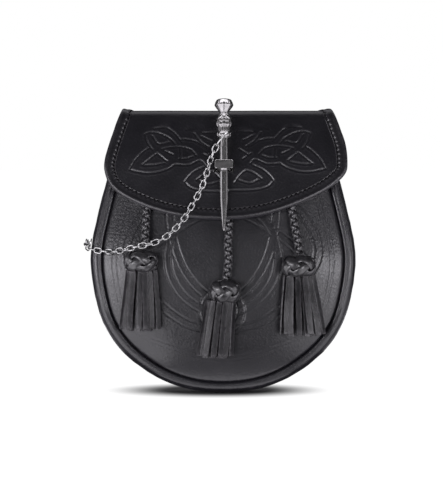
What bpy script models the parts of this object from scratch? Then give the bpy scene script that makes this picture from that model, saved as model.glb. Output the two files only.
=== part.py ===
"""Black leather sporran pouch, worn on a strap at the front of the waist.

+Z is up, the front faces -Y and +X is to the right of someone who looks at the front. The origin is the
place where the strap runs, midway between the two loops on the back. Every size below is in millimetres,
with heights measured from the bottom of the pouch. place_point() turns them into metres from the origin.
"""

import math

import bmesh
import bpy
from mathutils import Matrix, Vector

# Driving sizes, in millimetres
STRAP_HEIGHT = 160.0  # of the strap's line above the bottom of the pouch
GAP = 0.3  # between pieces that touch

BACK_Y = -3.5  # outer face of the back panel
SHEET = 2.5  # leather of the back and the flap
WALL = 2.0  # leather of the front panel and the gusset
POUCH_TOP = 176.0  # edge of the front panel, under the flap
DEPTH_BELLY = 38.0  # inside, from the back panel to the front seam
DEPTH_TOP = 30.0
BELLY_HEIGHT = 80.0  # below this the pouch has its full depth

# Seam between the front panel and the gusset: half width and height
SEAM = (
    (0.0, 7.3),
    (21.8, 9.6),
    (41.0, 16.5),
    (58.0, 27.6),
    (70.0, 39.5),
    (79.0, 54.5),
    (84.3, 74.0),
    (86.7, 93.0),
    (85.4, 109.0),
    (81.2, 128.0),
    (76.2, 148.0),
    (69.0, POUCH_TOP),
)
SEAM_STEPS = 40
BULGE_BOTTOM = 7.3  # how far the gusset stands out past the seam
BULGE_SIDE = 8.4
BULGE_RUN = 60.0  # from the middle to where it has its full bulge
BACK_MARGIN = 4.0  # of the back panel past the seam

# Front panel: share of the way in from its edge, and rise above the edge, which lies EDGE_SUNK below the seam
EDGE_SUNK = 2.0
PANEL_CENTRE = 85.0
PANEL_DOME = (
    (0.0, 0.0),
    (0.015, 1.5),
    (0.04, 2.5),
    (0.10, 3.7),
    (0.22, 4.9),
    (0.42, 6.2),
    (0.68, 6.9),
    (1.0, 7.1),
)

# Side view of the one sheet that is back and flap, along its outer face: depth, height and corner radius
SHEET_CORNERS = (
    (BACK_Y, 2.0, 0.0),
    (BACK_Y, 202.0, 12.0),
    (-31.0, 202.0, 12.0),
    (-47.0, 166.0, 90.0),
    (-58.2, 120.0, 0.0),
)
ROW_ANGLE = 15.0  # degrees that the sheet turns from one row of its mesh to the next
ROW_LENGTH = 15.0
COLUMN_WIDTH = 15.0
COLUMN_SHIFT = 4.0  # keeps the columns off the slot's corners
CROWN = 2.4  # how far the flap's sides fall back
CROWN_HALF_WIDTH = 85.0
CROWN_RUN = 60.0  # from the top of the fold to where the flap has its full crown

# Flap outline seen from the front: height, left edge, right edge
FLAP = (
    (202.0, -71.3, 76.6),
    (190.0, -76.2, 82.2),
    (178.0, -80.2, 86.2),
    (166.0, -83.4, 87.5),
    (158.0, -83.0, 86.0),
    (149.5, -79.3, 77.2),
    (142.5, -71.0, 65.2),
    (135.0, -54.9, 47.5),
    (130.0, -38.6, 31.5),
    (127.0, -20.8, 14.5),
)
FLAP_TIP = (-2.8, 126.0)
FLAP_EDGE_STEP = 6.0
BACK_TOP_HALF_WIDTH = 72.5

BINDING_WIDTH = 8.0
BINDING_THICKNESS = 1.0
BINDING_CLEAR = 0.45  # of the sheet, which is faceted at its bends
BINDING_BACK_HEIGHT = 187.0  # where the binding ends on the back

# Closing pin: distance below its top, half width, half depth, and whether the section is a diamond
PIN_TOP = 211.5
PIN_SHAFT = 3.05  # half width where it is round and slides through the keeper
PIN_ROWS = (
    (0.0, 4.6, 4.6, 0),
    (0.6, 6.2, 6.2, 0),
    (4.8, 6.8, 6.8, 0),
    (7.2, 5.9, 5.9, 0),
    (9.9, 4.3, 4.3, 0),
    (12.0, 3.6, 3.6, 0),
    (16.5, 5.7, 5.7, 0),
    (17.2, 5.2, 5.2, 0),
    (21.0, 4.6, 4.6, 0),
    (22.6, 3.3, 3.3, 0),
    (26.4, 3.3, 3.3, 0),
    (27.0, 4.2, 4.2, 0),
    (29.2, 4.2, 4.2, 0),
    (30.2, PIN_SHAFT, PIN_SHAFT, 0),
    (52.0, PIN_SHAFT, PIN_SHAFT, 0),
    (54.0, PIN_SHAFT, 1.5, 1),
    (75.0, 2.9, 1.5, 1),
    (95.5, 1.2, 1.0, 1),
    (97.6, 0.5, 0.4, 1),
)
PIN_SIDES = 12
PIN_X = 0.6
PIN_OFF_FLAP = 5.6  # of the pin's axis, at the keeper

KEEPER_HEIGHT = 163.0
KEEPER_WIDTH = 13.6
KEEPER_TALL = 6.5
KEEPER_BAR = 1.6
KEEPER_LEG = 1.7
KEEPER_BEVEL = 1.2
KEEPER_ROOM = 0.5  # between the pin and the bar
KEEPER_FOOT = (20.0, 1.4)  # width and thickness of the plate that its legs stand on
KEEPER_OFF_PANEL = 1.1  # clear of the panel's slope, at the middle of the foot
SLOT_ROOM = 0.6  # round the keeper's legs in the flap
SLOT_CUT = 14.0  # depth of a cutter, well past the leather on both sides

RING_RADIUS = 7.2
RING_WIRE = 1.2
RING_CORNERS = 16
RING_SIDES = 6
RING_HEIGHT = 182.2
RING_TILT = 48.0  # degrees that the ring slopes down to the left
RING_OFF_PIN = (-0.6, -0.8)  # how far the chain pulls the ring across and forwards

LINK_LENGTH = 6.9
LINK_WIDTH = 4.7
LINK_WIRE = 0.95
LINK_PITCH = 4.63
LINK_CORNERS = 10
LINK_SIDES = 5
LINK_ROLLS = (14.0, 100.0, 28.0, 112.0)  # degrees, taken in turn
FIRST_LINK_ROLL = 0.0
STUD_ROLLS = (0.0, 84.0, -6.0, 84.0, 4.0, 92.0)  # the last links, counted back from the stud

# The chain's way from the ring to the stud: across, depth, height
CHAIN_ROUTE = (
    (-5.5, -50.2, 175.2),
    (-8.2, -50.4, 169.0),
    (-10.8, -51.6, 160.3),
    (-13.7, -54.0, 151.4),
    (-18.0, -56.4, 141.9),
    (-22.6, -59.0, 133.8),
    (-28.0, -61.2, 125.0),
    (-34.7, -62.0, 117.5),
    (-42.2, -62.4, 111.4),
    (-50.5, -63.0, 107.6),
    (-61.0, -62.6, 105.4),
    (-69.7, -58.2, 103.2),
    (-78.7, -52.6, 101.4),
    (-87.3, -47.4, 101.8),
    (-92.6, -45.6, 102.6),
    (-96.6, -41.8, 104.0),
    (-97.8, -36.0, 106.0),
    (-96.6, -29.6, 108.2),
)
STUD_PAST_LINK = 1.2  # the stud's axis past the middle of the last link
STUD_ROWS = ((0.0, 3.4), (0.8, 3.4), (1.0, 1.0), (3.4, 1.0), (3.6, 2.6), (4.4, 2.2))  # stand-off, radius
STUD_SIDES = 12

# Plaited cords: where they come out of the front panel, and the points they hang through
CORD_DIAMETER = 5.5
CORD_STEP = 11.0
CORD_SLOT = (7.0, 22.0)
CORD_SLOT_LOW = 3.0  # the slot's middle below the cord's
CORD_END = 2.0  # the cord's hidden end behind the panel, and how far above the slot's cord it is
CORD_END_UP = 3.0
CORD_OUT = 0.5  # behind the panel's face where it turns down
CORD_TO_KNOT = 0.6  # how much of the way from the panel's face to the knot's middle it ends

# Tassels: x, height and size of the knot; x, height and half width at the skirt's top and bottom
TASSELS = {
    "left": dict(
        cord=((-53.6, 145.0), (-54.2, 137.0), (-54.9, 127.0), (-55.4, 116.0), (-56.2, 104.6)),
        knot=(-58.4, 95.0, 23.5, 18.4),
        skirt=(-58.2, 86.0, 9.4, -58.0, 45.0, 14.0),
    ),
    "middle": dict(
        cord=((3.6, 133.5), (4.0, 124.0), (4.1, 114.8), (3.4, 106.0), (3.8, 96.0), (2.3, 81.4)),
        knot=(1.4, 72.4, 24.4, 16.4),
        skirt=(-1.6, 64.4, 9.4, -5.8, 25.7, 11.2),
    ),
    "right": dict(
        cord=((47.2, 145.0), (48.4, 136.0), (50.4, 124.0), (52.6, 112.0), (54.4, 101.0)),
        knot=(54.0, 91.2, 25.4, 17.6),
        skirt=(54.6, 82.6, 10.0, 56.8, 41.0, 15.0),
    ),
}
KNOT_DEPTH_SHARE = 0.72
KNOT_ROWS = ((-0.5, 0.62), (-0.38, 0.84), (-0.14, 1.0), (0.14, 0.97), (0.36, 0.74), (0.5, 0.36))  # height, radius
KNOT_SIDES = 12
SKIRT_DEPTH_SHARE = 0.6
SKIRT_ROWS = ((0.0, 0.0), (0.18, 0.16), (0.45, 0.50), (0.75, 0.82), (1.0, 1.0))  # way down, share of the flare
SKIRT_STRIPS = 12
SKIRT_GROOVE = 0.80  # radius between the strips, as a share of the radius on them
SKIRT_STRIP = ((0.06, SKIRT_GROOVE), (0.16, 1.0), (0.84, 1.0), (0.94, SKIRT_GROOVE))  # share of a strip, reach
TASSEL_OFF_PANEL = 0.5

LOOP_X = 48.0
LOOP_WIDTH = 22.0
LOOP_GAP = 7.0  # between the back panel and the loop, for the strap
LOOP_HALF_HEIGHTS = (15.0, 21.0, 30.0)  # of the flat part, the bend and the sewn feet
LOOP_CORNER = 1.0  # how much nearer the middle the bend starts on the inside than on the outside

LEATHER = ("black_leather", (0.018, 0.017, 0.020, 1.0), 0.42, 0.0)
METAL = ("antique_silver", (0.62, 0.60, 0.58, 1.0), 0.28, 1.0)


def place_point(point):
    """A point in millimetres above the bottom of the pouch, as metres from the strap's line."""
    x, y, z = point
    return Vector((x, y, z - STRAP_HEIGHT)) * 0.001


def material(finish):
    name, colour, roughness, metallic = finish
    found = bpy.data.materials.get(name)
    if found:
        return found
    made = bpy.data.materials.new(name)
    made.use_nodes = True
    shader = made.node_tree.nodes["Principled BSDF"]
    shader.inputs["Base Color"].default_value = colour
    shader.inputs["Roughness"].default_value = roughness
    shader.inputs["Metallic"].default_value = metallic
    made.diffuse_color = colour
    return made


def finish_mesh(name, bm, finish, smooth_angle=40.0):
    """One object from a bmesh that is already in metres, facing outwards."""
    bmesh.ops.recalc_face_normals(bm, faces=bm.faces)
    mesh = bpy.data.meshes.new(name)
    bm.to_mesh(mesh)
    bm.free()
    mesh.shade_smooth()
    mesh.set_sharp_from_angle(angle=math.radians(smooth_angle))
    mesh.materials.append(material(finish))
    made = bpy.data.objects.new(name, mesh)
    bpy.context.scene.collection.objects.link(made)
    return made


def loft(name, rings, finish, ring_closes=False, smooth_angle=40.0):
    """Rings of points joined one to the next, and capped unless the last joins the first."""
    bm = bmesh.new()
    rows = [[bm.verts.new(place_point(p)) for p in ring] for ring in rings]
    joins = list(zip(rows, rows[1:]))
    if ring_closes:
        joins.append((rows[-1], rows[0]))
    for first, second in joins:
        for i, vertex in enumerate(first):
            after = (i + 1) % len(first)
            bm.faces.new((vertex, first[after], second[after], second[i]))
    if not ring_closes:
        bm.faces.new(rows[0])
        bm.faces.new(rows[-1][::-1])
    return finish_mesh(name, bm, finish, smooth_angle)


def smooth_curve(points, steps=12):
    """Points along a Catmull-Rom curve through the given points."""
    points = [Vector(p) for p in points]
    ends = [2 * points[0] - points[1]] + points + [2 * points[-1] - points[-2]]
    found = []
    for before, start, end, after in zip(ends, ends[1:], ends[2:], ends[3:]):
        for k in range(steps):
            t = k / steps
            found.append(
                0.5
                * (
                    2 * start
                    + (end - before) * t
                    + (2 * before - 5 * start + 4 * end - after) * t**2
                    + (3 * start - before - 3 * end + after) * t**3
                )
            )
    return found + [points[-1]]


def along(points, distances):
    """The points at the given distances along a line of points."""
    found, travelled, piece = [], 0.0, 0
    for distance in distances:
        while piece < len(points) - 2 and travelled + (points[piece + 1] - points[piece]).length < distance:
            travelled += (points[piece + 1] - points[piece]).length
            piece += 1
        start, end = points[piece], points[piece + 1]
        found.append(start.lerp(end, min((distance - travelled) / (end - start).length, 1.0)))
    return found


def length_of(points):
    return sum((b - a).length for a, b in zip(points, points[1:]))


def evenly(points, count):
    whole = length_of(points)
    return along(points, [whole * i / (count - 1) for i in range(count)])


def between(table, value):
    """Linear interpolation in rows of (position, result)."""
    for (low, first), (high, second) in zip(table, table[1:]):
        if value <= high:
            return first + (second - first) * max(value - low, 0.0) / (high - low)
    return table[-1][1]


def ease(share):
    share = min(max(share, 0.0), 1.0)
    return share * share * (3 - 2 * share)


# The pouch


def seam_line():
    """Points round the front seam, from its left top over the bottom to its right top, as (x, height)."""
    half = [Vector((x, z)) for x, z in SEAM]
    left = [Vector((-p.x, p.y)) for p in reversed(half[1:])]
    return evenly(smooth_curve(left + half), SEAM_STEPS + 1)


def outward(line):
    """The direction away from the pouch at each point of a line that runs round it."""
    found = []
    for i in range(len(line)):
        run = line[min(i + 1, len(line) - 1)] - line[max(i - 1, 0)]
        found.append(Vector((run.y, -run.x)).normalized())
    return found


def inside_depth(height):
    share = ease((height - BELLY_HEIGHT) / (POUCH_TOP - BELLY_HEIGHT))
    return DEPTH_BELLY + (DEPTH_TOP - DEPTH_BELLY) * share


def seam_y(height):
    return BACK_Y - SHEET - inside_depth(height)


def gusset_section(depth):
    """(distance out from the seam, distance back from it), round a wall with both seam edges turned in."""
    outer_back = depth - GAP
    return (
        (-4.0, 4.5),
        (0.2, 4.5),
        (0.9, 0.9),
        (1.9, -0.3),
        (2.9, 0.5),
        (4.6, -0.1),
        (6.5, 1.3),
        (7.8, 4.2),
        (8.4, 9.0),
        (8.4, depth * 0.6),
        (7.8, depth - 5.5),
        (6.2, depth - 1.6),
        (3.8, outer_back),
        (-4.0, outer_back),
        (-4.0, outer_back - WALL),
        (3.6, outer_back - WALL),
        (5.9, depth - 7.0),
        (6.4, depth * 0.6),
        (6.3, 9.0),
        (4.9, 3.4),
        (3.2, 2.8),
        (2.2, 6.5),
        (-4.0, 6.5),
    )


def make_gusset():
    line = seam_line()
    rings = []
    for point, out in zip(line, outward(line)):
        bulge = BULGE_BOTTOM + (BULGE_SIDE - BULGE_BOTTOM) * min(abs(point.x) / BULGE_RUN, 1.0)
        front = seam_y(point.y)
        ring = []
        for away, back in gusset_section(inside_depth(point.y)):
            away *= bulge / BULGE_SIDE if away > 0 else 1.0
            ring.append((point.x + out.x * away, front + back, point.y + out.y * away))
        rings.append(ring)
    return loft("gusset", rings, LEATHER)


def panel_outline():
    """The front panel's edge: just inside the seam, and straight across under the flap."""
    line = seam_line()
    edge = [p - out * (GAP / 2) for p, out in zip(line, outward(line))]
    top = [edge[-1].lerp(edge[0], k / 8) for k in range(1, 8)]
    return edge + top


def panel_y(x, height):
    """Depth of the front panel's outer face."""
    edge = panel_outline()
    centre = Vector((0.0, PANEL_CENTRE))
    point = Vector((x, height)) - centre
    for first, second in zip(edge, edge[1:] + edge[:1]):
        a, b = first - centre, second - centre
        turn = a.x * b.y - a.y * b.x
        across, past = (point.x * b.y - point.y * b.x) / turn, (a.x * point.y - a.y * point.x) / turn
        if across >= -1e-9 and past >= -1e-9:
            return seam_y(height) + EDGE_SUNK - between(PANEL_DOME, 1.0 - across - past)
    return seam_y(height) + EDGE_SUNK


def box_cutter(name, size, place, tilt=0.0):
    bm = bmesh.new()
    turn = Matrix.Rotation(math.radians(tilt), 4, "X")
    bmesh.ops.create_cube(bm, size=1.0, matrix=turn @ Matrix.Diagonal((*(s * 0.001 for s in size), 1.0)))
    cutter = finish_mesh(name, bm, LEATHER)
    cutter.location = place_point(place)
    cutter.hide_render = True
    cutter.display_type = "WIRE"
    return cutter


def cut(target, cutter):
    boolean = target.modifiers.new(cutter.name, "BOOLEAN")
    boolean.object = cutter
    boolean.operation = "DIFFERENCE"


def make_front_panel():
    edge = panel_outline()
    centre = Vector((0.0, PANEL_CENTRE))
    bm = bmesh.new()
    sides = []
    for inset in (0.0, WALL):
        rows = []
        for share, rise in PANEL_DOME[:-1]:
            row = []
            for point in edge:
                at = point.lerp(centre, share)
                y = seam_y(at.y) + EDGE_SUNK - rise + inset
                row.append(bm.verts.new(place_point((at.x, y, at.y))))
            rows.append(row)
        y = seam_y(centre.y) + EDGE_SUNK - PANEL_DOME[-1][1] + inset
        middle = bm.verts.new(place_point((centre.x, y, centre.y)))
        for first, second in zip(rows, rows[1:]):
            for i in range(len(first)):
                after = (i + 1) % len(first)
                bm.faces.new((first[i], first[after], second[after], second[i]))
        for i in range(len(edge)):
            bm.faces.new((rows[-1][i], rows[-1][(i + 1) % len(edge)], middle))
        sides.append(rows[0])
    outer, inner = sides
    for i in range(len(edge)):
        after = (i + 1) % len(edge)
        bm.faces.new((outer[i], outer[after], inner[after], inner[i]))
    panel = finish_mesh("front_panel", bm, LEATHER)
    for side, tassel in TASSELS.items():
        x, height = tassel["cord"][0]
        place = (x, panel_y(x, height) + WALL / 2, height - CORD_SLOT_LOW)
        cut(panel, box_cutter(f"slot_for_{side}_cord", (CORD_SLOT[0], SLOT_CUT, CORD_SLOT[1]), place))
    return panel


# The sheet that is both back and flap


def sheet_rows():
    """Rows across the sheet's outer face, as (distance along it, y, height), with its corners rounded."""
    corners = [Vector((y, z)) for y, z, _ in SHEET_CORNERS]
    points = [corners[0]]
    for i in range(1, len(corners) - 1):
        radius = SHEET_CORNERS[i][2]
        into, away = (corners[i] - corners[i - 1]).normalized(), (corners[i + 1] - corners[i]).normalized()
        turn = into.angle_signed(away)
        reach = radius * math.tan(abs(turn) / 2)
        start = corners[i] - into * reach
        side = Vector((into.y, -into.x)) * math.copysign(1.0, turn)
        middle = start + side * radius
        count = max(math.ceil(abs(math.degrees(turn)) / ROW_ANGLE), 2)
        for k in range(count + 1):
            arm = (start - middle).copy()
            arm.rotate(Matrix.Rotation(-turn * k / count, 2))
            points.append(middle + arm)
    points.append(corners[-1])
    rows = [points[0]]
    for point in points[1:]:
        pieces = max(round((point - rows[-1]).length / ROW_LENGTH), 1)
        last = rows[-1]
        rows += [last.lerp(point, k / pieces) for k in range(1, pieces + 1)]
    found, travelled = [(0.0, rows[0].x, rows[0].y)], 0.0
    for before, point in zip(rows, rows[1:]):
        travelled += (point - before).length
        found.append((travelled, point.x, point.y))
    return found


ROWS = sheet_rows()


def row_normals():
    """At each row, the way into the leather, long enough to keep its thickness at a corner."""
    ways = []
    for (_, y, z), (_, y_next, z_next) in zip(ROWS, ROWS[1:]):
        run = Vector((y_next - y, z_next - z)).normalized()
        ways.append(Vector((-run.y, run.x)))
    normals = [ways[0]]
    for before, after in zip(ways, ways[1:]):
        half = (before + after).normalized()
        normals.append(half / half.dot(after))
    return normals + [ways[-1]]


NORMALS = row_normals()
TOP_ROW = max(range(len(ROWS)), key=lambda i: (ROWS[i][2], -ROWS[i][0]))  # first row on the level top


def on_sheet(x, travelled, into=0.0):
    """A point of the flat leather, x across, travelled along and into its thickness, on the bent sheet."""
    i = 0
    while i < len(ROWS) - 2 and ROWS[i + 1][0] < travelled:
        i += 1
    (low, y, z), (high, y_next, z_next) = ROWS[i], ROWS[i + 1]
    share = (travelled - low) / (high - low)
    normal = NORMALS[i].lerp(NORMALS[i + 1], share) * into
    top = ROWS[TOP_ROW][0]
    crown = CROWN * ease((travelled - top) / CROWN_RUN) * (x / CROWN_HALF_WIDTH) ** 2
    return (x, y + (y_next - y) * share + normal.x + crown, z + (z_next - z) * share + normal.y)


def travelled_to(height, front):
    """How far along the sheet a height is, on its back or on its front."""
    rows = ROWS[TOP_ROW:] if front else ROWS[: TOP_ROW + 1]
    for (low, _, z), (high, _, z_next) in zip(rows, rows[1:]):
        if min(z, z_next) <= height <= max(z, z_next) and z != z_next:
            return low + (high - low) * (height - z) / (z_next - z)
    return rows[-1][0] if front else rows[0][0]


def flap_y(x, height):
    """Depth of the flap's outer face."""
    return on_sheet(x, travelled_to(height, True))[1]


def flap_edge(side):
    """The sheet's edge from the back's top over the fold to the flap's tip, as (x, distance along)."""
    column = 1 if side < 0 else 2
    start = Vector((side * BACK_TOP_HALF_WIDTH, travelled_to(BINDING_BACK_HEIGHT, False)))
    points = [start] + [Vector((row[column], travelled_to(row[0] - 0.01, True))) for row in FLAP]
    points.append(Vector((FLAP_TIP[0], travelled_to(FLAP_TIP[1], True))))
    curve = smooth_curve(points)
    bend_end = travelled_to(FLAP[1][0], True)
    rows = [row[0] for row in ROWS if start.y < row[0] < bend_end]
    upper = [next(a.lerp(b, (s - a.y) / (b.y - a.y)) for a, b in zip(curve, curve[1:]) if b.y >= s) for s in rows]
    rest = [p for p in curve if p.y > bend_end]
    count = max(round(length_of(rest) / FLAP_EDGE_STEP), 2)
    return [start] + upper + evenly(rest, count)


def sheet_outline():
    """Round the flat leather: up the back's right edge, round the flap and down the left edge."""
    line = seam_line()
    back = [p + out * BACK_MARGIN for p, out in zip(line, outward(line))]
    edge = [Vector((p.x, travelled_to(p.y, False))) for p in back]
    right, left = flap_edge(1), flap_edge(-1)
    return edge + right + left[-2::-1]


def make_flap_and_back():
    bm = bmesh.new()
    flat = [bm.verts.new((p.x, p.y, 0.0)) for p in sheet_outline()]
    face = bm.faces.new(flat)
    grown = bmesh.ops.extrude_face_region(bm, geom=[face])["geom"]
    bmesh.ops.translate(bm, verts=[g for g in grown if isinstance(g, bmesh.types.BMVert)], vec=(0, 0, SHEET))
    reach = max(abs(v.co.x) for v in bm.verts)
    columns = range(-int(reach // COLUMN_WIDTH), int(reach // COLUMN_WIDTH) + 1)
    cuts = [((0, row[0], 0), (0, 1, 0)) for row in ROWS[1:-1]]
    cuts += [((k * COLUMN_WIDTH + COLUMN_SHIFT, 0, 0), (1, 0, 0)) for k in columns]
    for place, way in cuts:
        bmesh.ops.bisect_plane(
            bm, geom=bm.verts[:] + bm.edges[:] + bm.faces[:], dist=1e-4, plane_co=place, plane_no=way
        )
    for vertex in bm.verts:
        vertex.co = place_point(on_sheet(vertex.co.x, vertex.co.y, vertex.co.z))
    sheet = finish_mesh("flap_and_back", bm, LEATHER)
    size = (KEEPER_WIDTH + 2 * SLOT_ROOM, SLOT_CUT, KEEPER_TALL + 2 * SLOT_ROOM)
    place = on_pin(0.0, PIN_OFF_FLAP, 0.0)
    cut(sheet, box_cutter("slot_for_keeper", size, place, pin_tilt()))
    return sheet


def make_flap_binding():
    """A strip folded round the sheet's edge, with a rolled outer edge."""
    clear, thick = BINDING_CLEAR, BINDING_THICKNESS
    section = (
        (-BINDING_WIDTH, -clear),
        (clear, -clear),
        (clear, SHEET + clear),
        (-BINDING_WIDTH * 0.75, SHEET + clear),
        (-BINDING_WIDTH * 0.75, SHEET + clear + thick),
        (clear, SHEET + clear + thick),
        (clear + thick, SHEET + clear),
        (clear + thick, -clear),
        (clear, -clear - thick),
        (-BINDING_WIDTH, -clear - thick),
    )
    right, left = flap_edge(1), flap_edge(-1)
    edge = right + left[-2::-1]
    rings = []
    for point, out in zip(edge, outward(edge)):
        rings.append([on_sheet(point.x + out.x * away, point.y + out.y * away, into) for away, into in section])
    return loft("flap_binding", rings, LEATHER)


# Metal pieces


def pin_tilt():
    """Degrees that the flap's lower front leans, which the pin follows."""
    (y, z, _), (y_low, z_low, _) = SHEET_CORNERS[-2:]
    return -math.degrees(math.atan2(y - y_low, z - z_low))


def on_pin(x, y, below_keeper):
    """A point beside the pin's axis, x and y from it, at a distance below the keeper."""
    lean = math.radians(-pin_tilt())
    axis_y = flap_y(PIN_X, KEEPER_HEIGHT) - PIN_OFF_FLAP
    along_y, along_z = -math.sin(lean), -math.cos(lean)
    return (
        PIN_X + x,
        axis_y + y * math.cos(lean) + along_y * below_keeper,
        KEEPER_HEIGHT - y * math.sin(lean) + along_z * below_keeper,
    )


def make_closing_pin():
    rings = []
    above = (PIN_TOP - KEEPER_HEIGHT) / math.cos(math.radians(pin_tilt()))
    for below, half_width, half_depth, diamond in PIN_ROWS:
        ring = []
        for k in range(PIN_SIDES):
            angle = 2 * math.pi * k / PIN_SIDES
            c, s = math.cos(angle), math.sin(angle)
            flat = 1.0 / (abs(c) + abs(s)) if diamond else 1.0
            ring.append(on_pin(half_width * c * flat, half_depth * s * flat, below - above))
        rings.append(ring)
    return loft("closing_pin", rings, METAL)


def make_keeper_staple():
    """A bar in front of the pin, two legs through the flap, and a plate on the front panel."""
    half, inner = KEEPER_WIDTH / 2, KEEPER_WIDTH / 2 - KEEPER_LEG
    foot_half, foot_thick = KEEPER_FOOT[0] / 2, KEEPER_FOOT[1]
    bar_back = -(PIN_SHAFT + KEEPER_ROOM)
    bar_front = bar_back - KEEPER_BAR
    deep = panel_y(PIN_X, KEEPER_HEIGHT) - (flap_y(PIN_X, KEEPER_HEIGHT) - PIN_OFF_FLAP) - KEEPER_OFF_PANEL
    foot_top = deep - foot_thick
    side = (
        (-foot_half, deep),
        (foot_half, deep),
        (foot_half, foot_top),
        (half, foot_top),
        (half, bar_front + KEEPER_BEVEL),
        (half - KEEPER_BEVEL, bar_front),
        (-half + KEEPER_BEVEL, bar_front),
        (-half, bar_front + KEEPER_BEVEL),
        (-half, foot_top),
        (-foot_half, foot_top),
    )
    hole = ((-inner, bar_back), (inner, bar_back), (inner, foot_top), (-inner, foot_top))
    bm = bmesh.new()
    outline = [bm.verts.new(place_point(on_pin(x, y, -KEEPER_TALL / 2))) for x, y in side]
    inside = [bm.verts.new(place_point(on_pin(x, y, -KEEPER_TALL / 2))) for x, y in hole]
    edges = []
    for rim in (outline, inside):
        edges += [bm.edges.new((rim[i - 1], rim[i])) for i in range(len(rim))]
    bmesh.ops.triangle_fill(bm, edges=edges, use_beauty=True)
    grown = bmesh.ops.extrude_face_region(bm, geom=bm.faces[:])["geom"]
    shift = place_point(on_pin(0, 0, KEEPER_TALL / 2)) - place_point(on_pin(0, 0, -KEEPER_TALL / 2))
    bmesh.ops.translate(bm, verts=[g for g in grown if isinstance(g, bmesh.types.BMVert)], vec=shift)
    return finish_mesh("keeper_staple", bm, METAL, 30.0)


def wire_loop(name, centre, along_it, across_it, half_straight, radius, wire, corners, sides):
    """A closed wire: a ring, or a link with straight sides of twice half_straight along along_it."""
    out_of_it = along_it.cross(across_it).normalized()
    rings = []
    for k in range(corners):
        angle = link_angle(k, corners) if half_straight else 2 * math.pi * (k + 0.5) / corners
        way = along_it * math.cos(angle) + across_it * math.sin(angle)
        shift = along_it * (half_straight if k < corners // 2 else -half_straight)
        middle = centre + shift + way * radius
        ring = []
        for j in range(sides):
            turn = 2 * math.pi * j / sides
            ring.append(middle + (way * math.cos(turn) + out_of_it * math.sin(turn)) * wire / 2)
        rings.append(ring)
    return loft(name, rings, METAL, ring_closes=True, smooth_angle=80.0)


def link_angle(k, corners):
    """Half the corners go round each end of a link, from -90 to 90 degrees and from 90 to 270."""
    end, step = divmod(k, corners // 2)
    return math.pi * (-0.5 + end + step / (corners // 2 - 1))


def make_jump_ring():
    slope = math.radians(RING_TILT)
    lean = math.radians(-pin_tilt())
    pin_up = Vector((0.0, math.sin(lean), math.cos(lean)))
    pin_back = Vector((0.0, math.cos(lean), -math.sin(lean)))
    uphill = Vector((1.0, 0.0, 0.0)) * math.cos(slope) + pin_up * math.sin(slope)
    centre = Vector(on_pin(*RING_OFF_PIN, KEEPER_HEIGHT - RING_HEIGHT))
    return wire_loop("jump_ring", centre, uphill, pin_back, 0.0, RING_RADIUS, RING_WIRE, RING_CORNERS, RING_SIDES)


def make_chain():
    route = smooth_curve(CHAIN_ROUTE)
    count = int(length_of(route) // LINK_PITCH) + 1
    centres = along(route, [i * LINK_PITCH for i in range(count)])
    radius = (LINK_WIDTH - LINK_WIRE) / 2
    half_straight = (LINK_LENGTH - LINK_WIDTH) / 2
    facing = Vector((0.0, -1.0, 0.0))
    for i, centre in enumerate(centres):
        run = (centres[min(i + 1, count - 1)] - centres[max(i - 1, 0)]).normalized()
        if i == count - 1:
            facing = gusset_side(centre.z)[1]
        side = run.cross(facing).normalized()
        facing = side.cross(run)
        roll = LINK_ROLLS[i % len(LINK_ROLLS)]
        if i == 0:
            roll = FIRST_LINK_ROLL
        if count - i <= len(STUD_ROLLS):
            roll = STUD_ROLLS[count - i - 1]
        roll = math.radians(roll)
        across = side * math.cos(roll) + facing * math.sin(roll)
        name = f"chain_link_{i + 1:02d}"
        wire_loop(name, centre, run, across, half_straight, radius, LINK_WIRE, LINK_CORNERS, LINK_SIDES)
    return centres[-1] + run * STUD_PAST_LINK


def gusset_side(height):
    """The point of the gusset's left side at a height, and the way out of it, both in the front view's plane."""
    line = seam_line()
    left = [(p + way * BULGE_SIDE, way) for p, way in zip(line, outward(line)) if p.x < 0]
    seat, out = min(left, key=lambda found: abs(found[0].y - height))
    seat = seat + Vector((out.y, -out.x)) * (height - seat.y) / -out.x
    return Vector((seat.x, 0.0, seat.y)), Vector((out.x, 0.0, out.y))


def make_chain_stud(place):
    """A plate, a neck that the last link hangs on, and a head, square to the gusset's side."""
    seat, out = gusset_side(place.z)
    seat.y = place.y
    seat = place - out * ((place - seat).dot(out) - GAP)
    back = Vector((0.0, 1.0, 0.0))
    up = out.cross(back)
    rings = []
    for off, radius in STUD_ROWS:
        ring = []
        for k in range(STUD_SIDES):
            angle = 2 * math.pi * k / STUD_SIDES
            ring.append(seat + out * off + (up * math.sin(angle) + back * math.cos(angle)) * radius)
        rings.append(ring)
    return loft("chain_stud", rings, METAL)


# Tassels


def cord_points(tassel):
    """The cord's way: out through its slot on a slant, then down the panel's face."""
    points = tassel["cord"]
    lie = CORD_DIAMETER / 2 + TASSEL_OFF_PANEL
    knot_x, knot_height, width, _ = tassel["knot"]
    knot_y = panel_y(knot_x, knot_height) - TASSEL_OFF_PANEL - width * KNOT_DEPTH_SHARE / 2
    (x, height), rest = points[0], points[1:]
    face = panel_y(x, height)
    found = [(x, face + WALL + CORD_END, height + CORD_END_UP), (x, face + CORD_OUT, height)]
    for x, height in rest:
        share = ease((rest[0][1] - height) / (rest[0][1] - rest[-1][1]))
        face = panel_y(x, height) - lie
        found.append((x, face + (knot_y - face) * share * CORD_TO_KNOT, height))
    return found


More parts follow.
